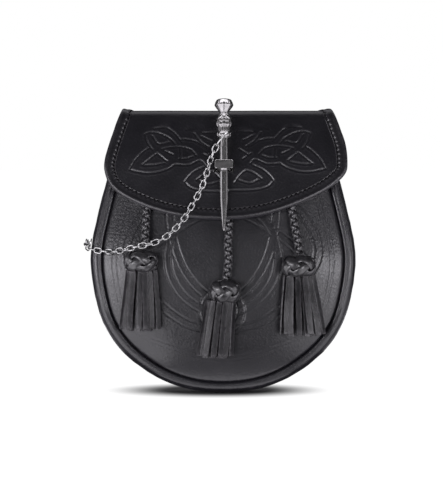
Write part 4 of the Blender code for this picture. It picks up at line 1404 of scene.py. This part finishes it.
def makeStitches(name, seats, size):  # one stitch modelled, then copied to every pair of points
    shape, faces = modelStitch(*size)
    shells = []
    for first, second in np.asarray(seats, float):
        along = (second - first) / np.linalg.norm(second - first)
        up = np.cross(along, (0.0, 0.0, 1.0) if abs(along[2]) < 0.9 else (1.0, 0.0, 0.0))
        up /= np.linalg.norm(up)
        places = shape @ np.array((along, np.cross(up, along), up))
        shells.append(((first + second) / 2 + places, faces))
    softPiece(name, joinShells(shells), stitchThread, 60.0, "leather_trim")


def stitchPairs(line, first, pitch, half):  # both ends of each stitch along a line
    places = np.arange(first, wayAlong(line)[-1], pitch)
    return [[pointsAt(line, place + end) for end in (-half, half)] for place in places]


makeBinding()


# Strap loops on the back

loops = {
    "x": 48.0,
    "width": 22.0,
    "gap": 7.0,
    "halfHeights": (15.0, 21.0, 30.0),  # of the raised part, of the bends and of the ends
    "section": (  # shares of the half width and of the thickness
        (-1, 0.35), (-0.94, 0.08), (-0.85, 0.0), (0.85, 0.0), (0.94, 0.08), (1, 0.35), (1, 0.65),
        (0.94, 0.92), (0.85, 1.0), (0.4, 1.04), (-0.4, 1.04), (-0.85, 1.0), (-0.94, 0.92), (-1, 0.65),
    ),
    "narrowing": (0.12, 2.5),  # share of the width, and how far from the end it starts
    "stitchFrame": (3.2, 1.8, 2.2),  # in from the bend, from the end and from the sides
    "stitchFirst": 1.2,
    "stitchPitch": 3.0,
    "stitchHalf": 0.9,
    "stitch": (2.0, 0.8),
}
stitchSunk = 0.05  # into the flat leather of the back and the loops


def makeLoop(side):
    flat, bend, end = loops["halfHeights"]
    near, far = pouch["backY"] + pouch["gap"], pouch["backY"] + loops["gap"]
    thick = pouch["sheet"]
    half = [(near, end), (near, bend + 1.5), (near + 1.0, bend - 0.4), (far - 1.0, flat + 0.9),
            (far, flat - 1.5), (far + 0.4, 0.0)]
    inner = smoothLine(half + [(y, -z) for y, z in half[-2::-1]], 6)
    out = -waysOut(inner)
    across, outShares = np.array(loops["section"]).T
    share, run = loops["narrowing"]
    rings = []
    for (y, z), away in zip(inner, out):
        wide = loops["width"] / 2 * (1 - share * max(0.0, 1 - (end - abs(z)) / run) ** 2)
        ys = y + away[0] * thick * outShares
        zs = strapHeight + z + away[1] * thick * outShares
        rings.append(np.stack((side * loops["x"] + wide * across, ys, zs), axis=1))
    name = "left" if side < 0 else "right"
    softPiece(f"strapLoop_{name}", sweptShell(rings), trimLeather, 50.0, "leather_trim", f"strap_loop_{name}")
    inBend, inEnd, inSide = loops["stitchFrame"]
    low, high, wide = bend + inBend, end - inEnd, loops["width"] / 2 - inSide
    corners = [(-wide, low), (wide, low), (wide, high), (-wide, high), (-wide, low)]
    frameLine = np.vstack([denseLine(corners[k:k + 2]) for k in range(4)])
    pairs = stitchPairs(frameLine, loops["stitchFirst"], loops["stitchPitch"], loops["stitchHalf"])
    face = near + thick - stitchSunk
    seats = [[(side * loops["x"] + p[0], face, strapHeight + up * p[1]) for p in pair]
             for up in (-1, 1) for pair in pairs]
    makeStitches(f"loopStitches_{name}", seats, loops["stitch"])


for side in (-1, 1):
    makeLoop(side)
print("strap loops made")

backStitches = {"inside": 3.2, "first": 2.0, "pitch": 3.6, "half": 1.0, "size": (2.4, 0.8)}


def makeBackStitches():
    line = seamLine(flapMesh["rimPoints"])
    rim = line + waysOut(line) * (pouch["backMargin"] - backStitches["inside"])
    pairs = stitchPairs(rim, backStitches["first"], backStitches["pitch"], backStitches["half"])
    seats = [[(p[0], pouch["backY"] + stitchSunk, p[1]) for p in pair] for pair in pairs]
    makeStitches("backStitches", seats, backStitches["size"])


makeBackStitches()


# Metal pieces, modelled upright at the origin and then leaned with the flap

thistle = {  # distance below the top and radius
    "cup": ((2.0, 4.9), (2.2, 5.3), (3.0, 5.75), (4.0, 6.2), (5.1, 6.6), (5.9, 6.72), (6.6, 6.4), (7.8, 5.6),
            (9.2, 4.55), (10.7, 3.45)),
    "neck": ((11.3, 3.1), (11.8, 3.0)),
    "bracts": ((12.3, 3.3), (13.0, 3.7), (13.7, 4.15), (14.4, 4.6), (15.1, 5.05), (15.8, 5.5), (16.4, 5.95),
               (16.8, 5.85)),
    "beads": ((16.95, 4.5), (17.3, 4.9), (17.9, 5.2), (18.7, 5.4), (19.5, 5.45), (20.3, 5.3), (21.0, 5.0),
              (21.6, 4.6), (22.0, 4.2)),
    "collar": ((22.3, 3.95), (22.9, 3.9), (24.2, 3.85), (25.5, 3.9)),
    "flange": ((25.9, 4.3), (26.6, 4.95), (27.6, 5.15), (28.6, 4.9), (29.4, 4.1)),
    "shaftRows": ((29.8, 0.3), (30.3, 0.0), (31.0, 0.0), (52.0, 0.0), (53.5, -0.45)),  # added to its radius
    "flutes": 16,
    "teeth": 8,
    "pressed": (  # part, rows left out at its ends, how many round it, scale, half width as a share of one
        ("cup", 1, "flutes", 0.975, 0.1),
        ("beads", 1, "teeth", 0.93, 0.26),
        ("beads", 1, "teeth", 0.93, 0.13),
        ("collar", 0, "flutes", 0.93, 0.2),
        ("flange", 1, "teeth", 0.92, 0.12),
    ),
    "scales": (0.92, 0.13, 6),  # scale, half width of a ridge, and rows over which it crosses one share
}
blade = {  # distance below the top, half width, half depth
    "rows": ((53.0, 2.7, 1.6), (55.0, 3.05, 1.5), (75.0, 2.85, 1.5), (92.0, 1.5, 1.2), (96.4, 0.9, 0.8),
             (97.6, 0.4, 0.35)),
    "corners": ((0.0, 0.55), (0.5, 1.15), (0.866, 1.0)),  # share of the half width, and depth at that corner
    "spread": {0.5: 0.9},
}


def leanWithFlap(piece, below):  # from upright with its top at the origin to its place on the pin's axis
    piece.rotation_euler.x = math.radians(pinTilt)
    piece.location = toFrame(onPin(0.0, 0.0, below))[0]
    cleanShell(piece)


def extrudeRows(rows):  # extrudes what is selected from row to row: height, width and depth
    for (low, wide, deep), (high, nextWide, nextDeep) in zip(rows, rows[1:]):
        bpy.ops.mesh.extrude_region_move(TRANSFORM_OT_translate={"value": (0, 0, (high - low) * 0.001)})
        bpy.ops.transform.resize(value=(nextWide / wide, nextDeep / deep, 1.0))


def startDisc(sides, radius, height):  # a disc about the z axis, left in edit mode with all selected
    deselectAll()
    bpy.ops.mesh.primitive_circle_add(vertices=sides, radius=radius * 0.001, fill_type="NGON",
                                      location=(0, 0, height * 0.001))
    made = bpy.context.object
    bpy.ops.object.transform_apply(location=True, rotation=False, scale=False)
    editMode(made)
    bpy.ops.mesh.select_all(action="SELECT")
    return made


def makePinBody():
    rows = [row for part in ("cup", "neck", "bracts", "beads", "collar", "flange") for row in thistle[part]]
    rows += [(below, pin["shaft"] + more) for below, more in thistle["shaftRows"]]
    body = startDisc(pin["sides"], rows[0][1], -rows[0][0])
    extrudeRows([(-below, radius, radius) for below, radius in rows])
    shapePin(body)
    objectMode()
    return body


def pressRow(body, below, count, scale, chosen):  # presses in the parts of a row whose share is chosen
    def test(vert):
        share = (math.atan2(vert.co.y, vert.co.x) / (2 * math.pi) * count) % 1.0
        return abs(vert.co.z + below * 0.001) < 1e-5 and chosen(share)
    choose(body, "verts", test)
    bpy.ops.transform.resize(value=(scale, scale, 1.0), center_override=(0.0, 0.0, 0.0))


def shapePin(body):
    for part, ends, count, scale, half in thistle["pressed"]:
        for below, _ in thistle[part][ends:len(thistle[part]) - ends]:
            pressRow(body, below, thistle[count], scale, lambda share: abs(share - 0.5) < half)
    scale, half, rise = thistle["scales"]
    for number, (below, _) in enumerate(thistle["bracts"][:-1]):  # ridges that cross like a thistle's scales
        slant = number / rise
        pressRow(body, below, thistle["teeth"], scale, lambda share: all(
            abs((share + way * slant + 0.5) % 1.0 - 0.5) > half for way in (-1, 1)))


def makeBlade():  # two ridges on each face, with a hollow between them
    made = startDisc(12, 1.0, -blade["rows"][0][0])
    for across, deep in blade["corners"]:
        for side in (-1, 1):
            choose(made, "verts",
                   lambda vert: abs(abs(vert.co.x) - across * 0.001) < 1e-4 and vert.co.y * side > 4e-4)
            scale = (blade["spread"].get(across, 1.0), deep, 1.0)
            bpy.ops.transform.resize(value=scale, center_override=(0, 0, 0))
    bpy.ops.mesh.select_all(action="SELECT")
    _, wide, deep = blade["rows"][0]
    bpy.ops.transform.resize(value=(wide, deep, 1.0), center_override=(0, 0, 0))
    extrudeRows([(-below, wide, deep) for below, wide, deep in blade["rows"]])
    objectMode()
    return made


def makePin():
    body = makePinBody()
    piece = joinPieces("thistlePin", [body, makeBlade()])
    leanWithFlap(piece, -(pin["top"] - keeper["height"]) / math.cos(math.radians(pinTilt)))
    softenEdges(piece, pin["bevel"], 2, 38)
    metalPiece(piece, antiqueSilver, 42, "silver_metal", "closing_pin")


def softenEdges(piece, width, segments, angle):
    applyModifier(piece, "BEVEL", width=width * 0.001, segments=segments, limit_method="ANGLE",
                  angle_limit=math.radians(angle))


def blockPiece(name, low, high):
    deselectAll()
    bpy.ops.mesh.primitive_cube_add(size=1.0)
    made = bpy.context.object
    made.name = name
    made.scale = [(b - a) * 0.001 for a, b in zip(low, high)]
    made.location = [(a + b) * 0.0005 for a, b in zip(low, high)]
    bpy.ops.object.transform_apply(location=True, rotation=False, scale=True)
    return made


def makeKeeper():
    half, tall = keeper["width"] / 2, keeper["tall"] / 2
    barBack = -(pin["shaft"] + keeper["room"])
    axisY = flapY(pin["x"], keeper["height"]) - pin["offFlap"]
    deep = float(panelY(pin["x"], keeper["height"])) - axisY - keeper["offPanel"]
    bar = blockPiece("keeperBar", (-half, barBack - keeper["bar"], -tall), (half, barBack, tall))
    editMode(bar)
    bpy.ops.mesh.select_mode(type="EDGE")
    choose(bar, "edges", lambda edge: abs(edge.verts[0].co.y - edge.verts[1].co.y) > 1e-4)
    bpy.ops.mesh.bevel(offset=keeper["corner"] * 0.001, segments=6, affect="EDGES")
    objectMode()
    outer = half - keeper["legIn"]
    inner, high = outer - keeper["leg"], tall - keeper["corner"]
    front = barBack - keeper["overlap"]
    legs = [blockPiece("leg", (low, front, -high), (low + keeper["leg"], deep, high))
            for low in (-outer, inner)]
    footHalf = keeper["footWidth"] / 2
    foot = blockPiece("foot", (-footHalf, deep - keeper["footThick"], -tall), (footHalf, deep, tall))
    parts = [bar, foot] + legs
    for part in parts:
        softenEdges(part, keeper["barBevel"] if part is bar else keeper["bevel"], 4, 50)
    piece = joinPieces("keeperStaple", parts)
    leanWithFlap(piece, 0.0)
    metalPiece(piece, antiqueSilver, 40, "silver_metal", "keeper_staple")


ring = {"radius": 7.2, "wire": 1.2, "height": 182.2, "tilt": 48.0, "offPin": (-0.6, -0.8), "split": 1.5}


def makeRing():  # a wire ring with the fine split that it was opened by
    deselectAll()
    bpy.ops.mesh.primitive_torus_add(major_segments=72, minor_segments=14,
                                     major_radius=ring["radius"] * 0.001, minor_radius=ring["wire"] * 0.0005)
    made = bpy.context.object
    editMode(made)
    gap = math.radians(ring["split"])
    for way in (-1, 1):
        bpy.ops.mesh.select_all(action="SELECT")
        bpy.ops.mesh.bisect(plane_co=(0, 0, 0), plane_no=(math.sin(gap) * way, math.cos(gap), 0.0))

    def inSplit(face):
        middle = face.calc_center_median()
        return middle.x > 0 and abs(math.atan2(middle.y, middle.x)) < gap
    choose(made, "faces", inSplit)
    bpy.ops.mesh.delete(type="FACE")
    bpy.ops.mesh.select_all(action="SELECT")
    bpy.ops.mesh.region_to_loop()
    bpy.ops.mesh.edge_face_add()
    objectMode()
    slope, lean = math.radians(ring["tilt"]), math.radians(-pinTilt)
    up = Vector((0.0, math.sin(lean), math.cos(lean)))
    back = Vector((0.0, math.cos(lean), -math.sin(lean)))
    uphill = Vector((1.0, 0.0, 0.0)) * math.cos(slope) + up * math.sin(slope)
    turn = Matrix((back, uphill, back.cross(uphill))).transposed()
    place = Vector(toFrame(onPin(*ring["offPin"], keeper["height"] - ring["height"]))[0])
    made.matrix_world = Matrix.Translation(place) @ turn.to_4x4()
    made.name = "jumpRing"
    cleanShell(made)
    metalPiece(made, chainMetal, 50, "silver_metal", "jump_ring")


link = {"length": 6.9, "width": 4.7, "wire": 0.95, "corners": 28, "sides": 8}


def modelLink():  # a ring that is pulled out to a link with straight sides
    radius = (link["width"] - link["wire"]) / 2
    deselectAll()
    bpy.ops.mesh.primitive_torus_add(major_segments=link["corners"], minor_segments=link["sides"],
                                     major_radius=radius * 0.001, minor_radius=link["wire"] * 0.0005)
    made = bpy.context.object
    editMode(made)
    straight = (link["length"] - link["width"]) / 2 * 0.001
    for way in (-1, 1):
        choose(made, "verts", lambda vert: vert.co.x * way > 1e-5)
        bpy.ops.transform.translate(value=(way * straight, 0, 0))
    objectMode()
    return made


def solidAxes(node):  # the corners of a CAD solid, their middle, and its own axes from the longest
    points = np.unique(np.round([tuple(v.co) for v in node.data.vertices], 7), axis=0)
    middle = points.mean(axis=0)
    return points, middle, np.linalg.svd(points - middle)[2]


def linkPlace(node):  # a link's middle and turn, from the way its CAD solid lies
    _, middle, axes = solidAxes(node)
    along, across = Vector(axes[0]), Vector(axes[1])
    turn = Matrix((along, across, along.cross(across))).transposed()
    return Matrix.Translation(Vector(middle)) @ turn.to_4x4()


def makeChain():
    nodes = sorted(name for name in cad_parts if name.startswith("chain_link_"))
    model = modelLink()
    links = []
    for name in nodes:
        copy = model.copy()
        copy.data = model.data.copy()
        bpy.context.scene.collection.objects.link(copy)
        copy.matrix_world = linkPlace(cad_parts[name])
        links.append(copy)
    bpy.data.objects.remove(model)
    for copy in links:
        pick(copy)
        bpy.ops.object.transform_apply(location=True, rotation=True, scale=True)
    piece = joinPieces("tetherChain", links)
    cleanShell(piece)
    metalPiece(piece, chainMetal, 60, "chain_metal", *nodes)


studShape = {
    "sides": 32,
    "rows": ((0.0, 3.3), (0.3, 3.4), (0.7, 3.2), (0.9, 1.3), (1.1, 1.0), (3.3, 1.0), (3.4, 2.3), (3.65, 2.65),
             (4.0, 2.55), (4.3, 2.0), (4.42, 1.0)),  # off the leather, and radius
}


def makeStud():  # a turned stud with a domed head, on the axis of its CAD solid
    points, middle, axes = solidAxes(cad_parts["chain_stud"])
    away = Vector(min(axes, key=lambda axis: np.ptp((points - middle) @ axis)))
    if away.x > 0:
        away = -away
    base = Vector(middle) + away * float(((points - middle) @ np.array(away)).min())
    rows = studShape["rows"]
    stud = startDisc(studShape["sides"], rows[0][1], rows[0][0])
    extrudeRows([(off, radius, radius) for off, radius in rows])
    objectMode()
    stud.matrix_world = Matrix.Translation(base) @ away.to_track_quat("Z", "Y").to_matrix().to_4x4()
    stud.name = "chainStud"
    cleanShell(stud)
    metalPiece(stud, chainMetal, 40, "chain_metal", "chain_stud")


makePin()
makeKeeper()
makeRing()
makeChain()
makeStud()
print("metal pieces made")


# Floor, light and finish

studio = {
    "floorHeight": -0.3,
    "floorSize": 60.0,  # metres
    "floorPaint": (0.12, 0.12, 0.12, 1.0),
    "floorBounce": (0.10, 0.10, 0.10, 1.0),  # what the floor throws back on the leather
    "shadowMiddle": (0.004, 0.0, 0.0),  # middle of the painted shadow: from here the floor's painted glow fades in to white
    "shadowStretch": (1.3, 1.0, 0.0),
    "fade": (0.046, 0.113),  # metres
    "target": (0.0, -0.03, -0.06),
    "skyToCamera": 1.0,
    "skyFront": 0.08,
    "skyBack": 0.06,
    "skyTurn": (-0.5, 0.6),  # how far forwards and back the one gives way to the other
    "skyColour": (0.97, 0.97, 1.0, 1.0),
    "lampColour": (0.965, 0.945, 1.0),
    "lamps": {  # name, degrees round from the front, degrees up, distance, width, height, radiance
        "leather": (
            ("softLeft", -28.0, 2.0, 1.6, 0.6, 0.32, 10.5),
            ("wideLeft", -42.0, 2.0, 1.6, 0.6, 0.32, 7.2),
            ("softRight", 29.0, 2.0, 1.6, 0.6, 0.32, 12.0),
            ("rimLeft", -78.0, 4.0, 1.4, 0.6, 0.6, 4.0),
            ("rimRight", 78.0, 4.0, 1.4, 0.6, 0.6, 3.0),
            ("softTop", 180.0, 60.0, 1.6, 1.6, 0.9, 0.8),
        ),
        "pin": (
            ("sideLeft", -72.0, 8.0, 1.2, 0.7, 0.9, 0.95),
            ("sideRight", 74.0, 8.0, 1.2, 0.6, 0.9, 0.32),
            ("highLeft", -60.0, 62.0, 1.2, 0.8, 1.1, 2.2),
            ("highRight", 60.0, 62.0, 1.2, 0.8, 1.1, 2.0),
            ("frontFill", 0.0, 24.0, 1.6, 0.9, 0.5, 0.09),
        ),
        "chain": (
            ("chainLeft", -50.0, 15.0, 1.4, 0.9, 0.9, 2.6),
            ("chainRight", 50.0, 15.0, 1.4, 0.9, 0.9, 2.0),
            ("chainTop", 0.0, 62.0, 1.2, 0.9, 0.5, 1.8),
        ),
    },
    "lampsOffFloor": 0.4,  # millimetres, for the lamps on the table
    "tableLamps": {  # name, across, forwards, width, depth, radiance: light that a white table throws up
        "leather": (
            ("tableLeft", -0.40, -0.48, 0.7, 0.8, 2.1),
            ("tableRight", 0.42, -0.48, 0.7, 0.8, 1.6),
            ("tableNear", 0.0, -0.09, 0.16, 0.08, 0.5),
            ("tableUnder", 0.0, -0.056, 0.11, 0.016, 1.5),
            ("tableSideLeft", -0.28, 0.02, 0.36, 0.4, 0.35),
            ("tableSideRight", 0.28, 0.02, 0.36, 0.4, 0.4),
            ("tableBack", 0.0, 0.55, 0.44, 0.7, 2.6),
        ),
        "pin": (
            ("tableFrontLeft", -0.44, -0.55, 0.8, 0.95, 1.7),
            ("tableFrontRight", 0.44, -0.55, 0.8, 0.95, 1.4),
        ),
        "chain": (("tableChain", 0.0, -0.55, 1.6, 0.95, 0.9),),
    },
}


def makeFloor():
    deselectAll()
    bpy.ops.mesh.primitive_plane_add(size=studio["floorSize"])
    floor = bpy.context.object
    floor.name = "floor"
    floor.location = toFrame((0, 0, studio["floorHeight"]))[0]
    bpy.ops.object.transform_apply(location=True, rotation=False, scale=False)
    paint, tree, shader = newMaterial("paleFloor")
    seen = addNode(tree, "ShaderNodeLightPath").outputs["Is Camera Ray"]
    tone = mixColours(tree, seen, studio["floorBounce"], studio["floorPaint"])
    tree.links.new(tone, shader.inputs["Base Color"])
    away = addNode(tree, "ShaderNodeTexCoord").outputs["Object"]
    for operation, value in (("ADD", "shadowMiddle"), ("MULTIPLY", "shadowStretch")):
        inputs = {0: away, 1: studio[value]}
        away = addNode(tree, "ShaderNodeVectorMath", inputs, operation=operation).outputs[0]
    away = addNode(tree, "ShaderNodeVectorMath", {0: away}, operation="LENGTH").outputs["Value"]
    start, end = studio["fade"]
    # The floor glows white to the camera only, away from the pouch: painted light that leaves a painted
    # shadow round it
    glow = addNode(tree, "ShaderNodeMapRange", {"Value": away, "From Min": start, "From Max": end},
                   interpolation_type="SMOOTHSTEP").outputs["Result"]
    tree.links.new(mathNode(tree, "MULTIPLY", glow, seen), shader.inputs["Emission Strength"])
    setSockets(shader, {"Emission Color": (1.0, 1.0, 1.0, 1.0), "Roughness": 0.9})
    floor.data.materials.append(paint)
    litPieces["leather"].objects.link(floor)


def makeWorld():
    world = bpy.data.worlds.new("studio")
    bpy.context.scene.world = world
    world.use_nodes = True
    tree = world.node_tree
    tree.nodes.clear()
    output = addNode(tree, "ShaderNodeOutputWorld")
    seen = addNode(tree, "ShaderNodeBackground", {"Color": (1, 1, 1, 1), "Strength": studio["skyToCamera"]})
    way = addNode(tree, "ShaderNodeTexCoord").outputs["Generated"]
    backwards = addNode(tree, "ShaderNodeSeparateXYZ", {0: way}).outputs["Y"]
    strength = rangeNode(tree, backwards, *studio["skyTurn"], studio["skyFront"], studio["skyBack"])
    lit = addNode(tree, "ShaderNodeBackground", {"Color": studio["skyColour"], "Strength": strength})
    path = addNode(tree, "ShaderNodeLightPath")
    mixed = addNode(tree, "ShaderNodeMixShader", {0: path.outputs["Is Camera Ray"]})
    tree.links.new(lit.outputs[0], mixed.inputs[1])
    tree.links.new(seen.outputs[0], mixed.inputs[2])
    tree.links.new(mixed.outputs[0], output.inputs["Surface"])


def addLamp(name, width, height, radiance, lit):
    lamp = bpy.data.lights.new(name, "AREA")
    lamp.shape = "RECTANGLE"
    lamp.size, lamp.size_y = width, height
    lamp.energy = radiance * math.pi * width * height
    lamp.color = studio["lampColour"]
    made = bpy.data.objects.new(name, lamp)
    made.light_linking.receiver_collection = litPieces[lit]
    bpy.context.scene.collection.objects.link(made)
    return made


def makeLamps():
    target = Vector(studio["target"])
    for lit, lamps in studio["lamps"].items():
        for name, around, up, distance, width, height, radiance in lamps:
            lamp = addLamp(name, width, height, radiance, lit)
            around, up = math.radians(around), math.radians(up)
            way = Vector((math.sin(around) * math.cos(up), -math.cos(around) * math.cos(up), math.sin(up)))
            lamp.location = target + way * distance
            lamp.rotation_euler = (-way).to_track_quat("-Z", "Y").to_euler()
    for lit, lamps in studio["tableLamps"].items():
        for name, across, forwards, width, depth, radiance in lamps:
            lamp = addLamp(name, width, depth, radiance, lit)
            height = studio["floorHeight"] + studio["lampsOffFloor"]
            lamp.location = (across, forwards, toFrame((0, 0, height))[0][2])
            lamp.rotation_euler = (math.pi, 0.0, 0.0)
            lamp.visible_camera = False


makeFloor()
makeWorld()
makeLamps()
bpy.context.scene.view_settings.view_transform = "Standard"
print("floor and lights made")
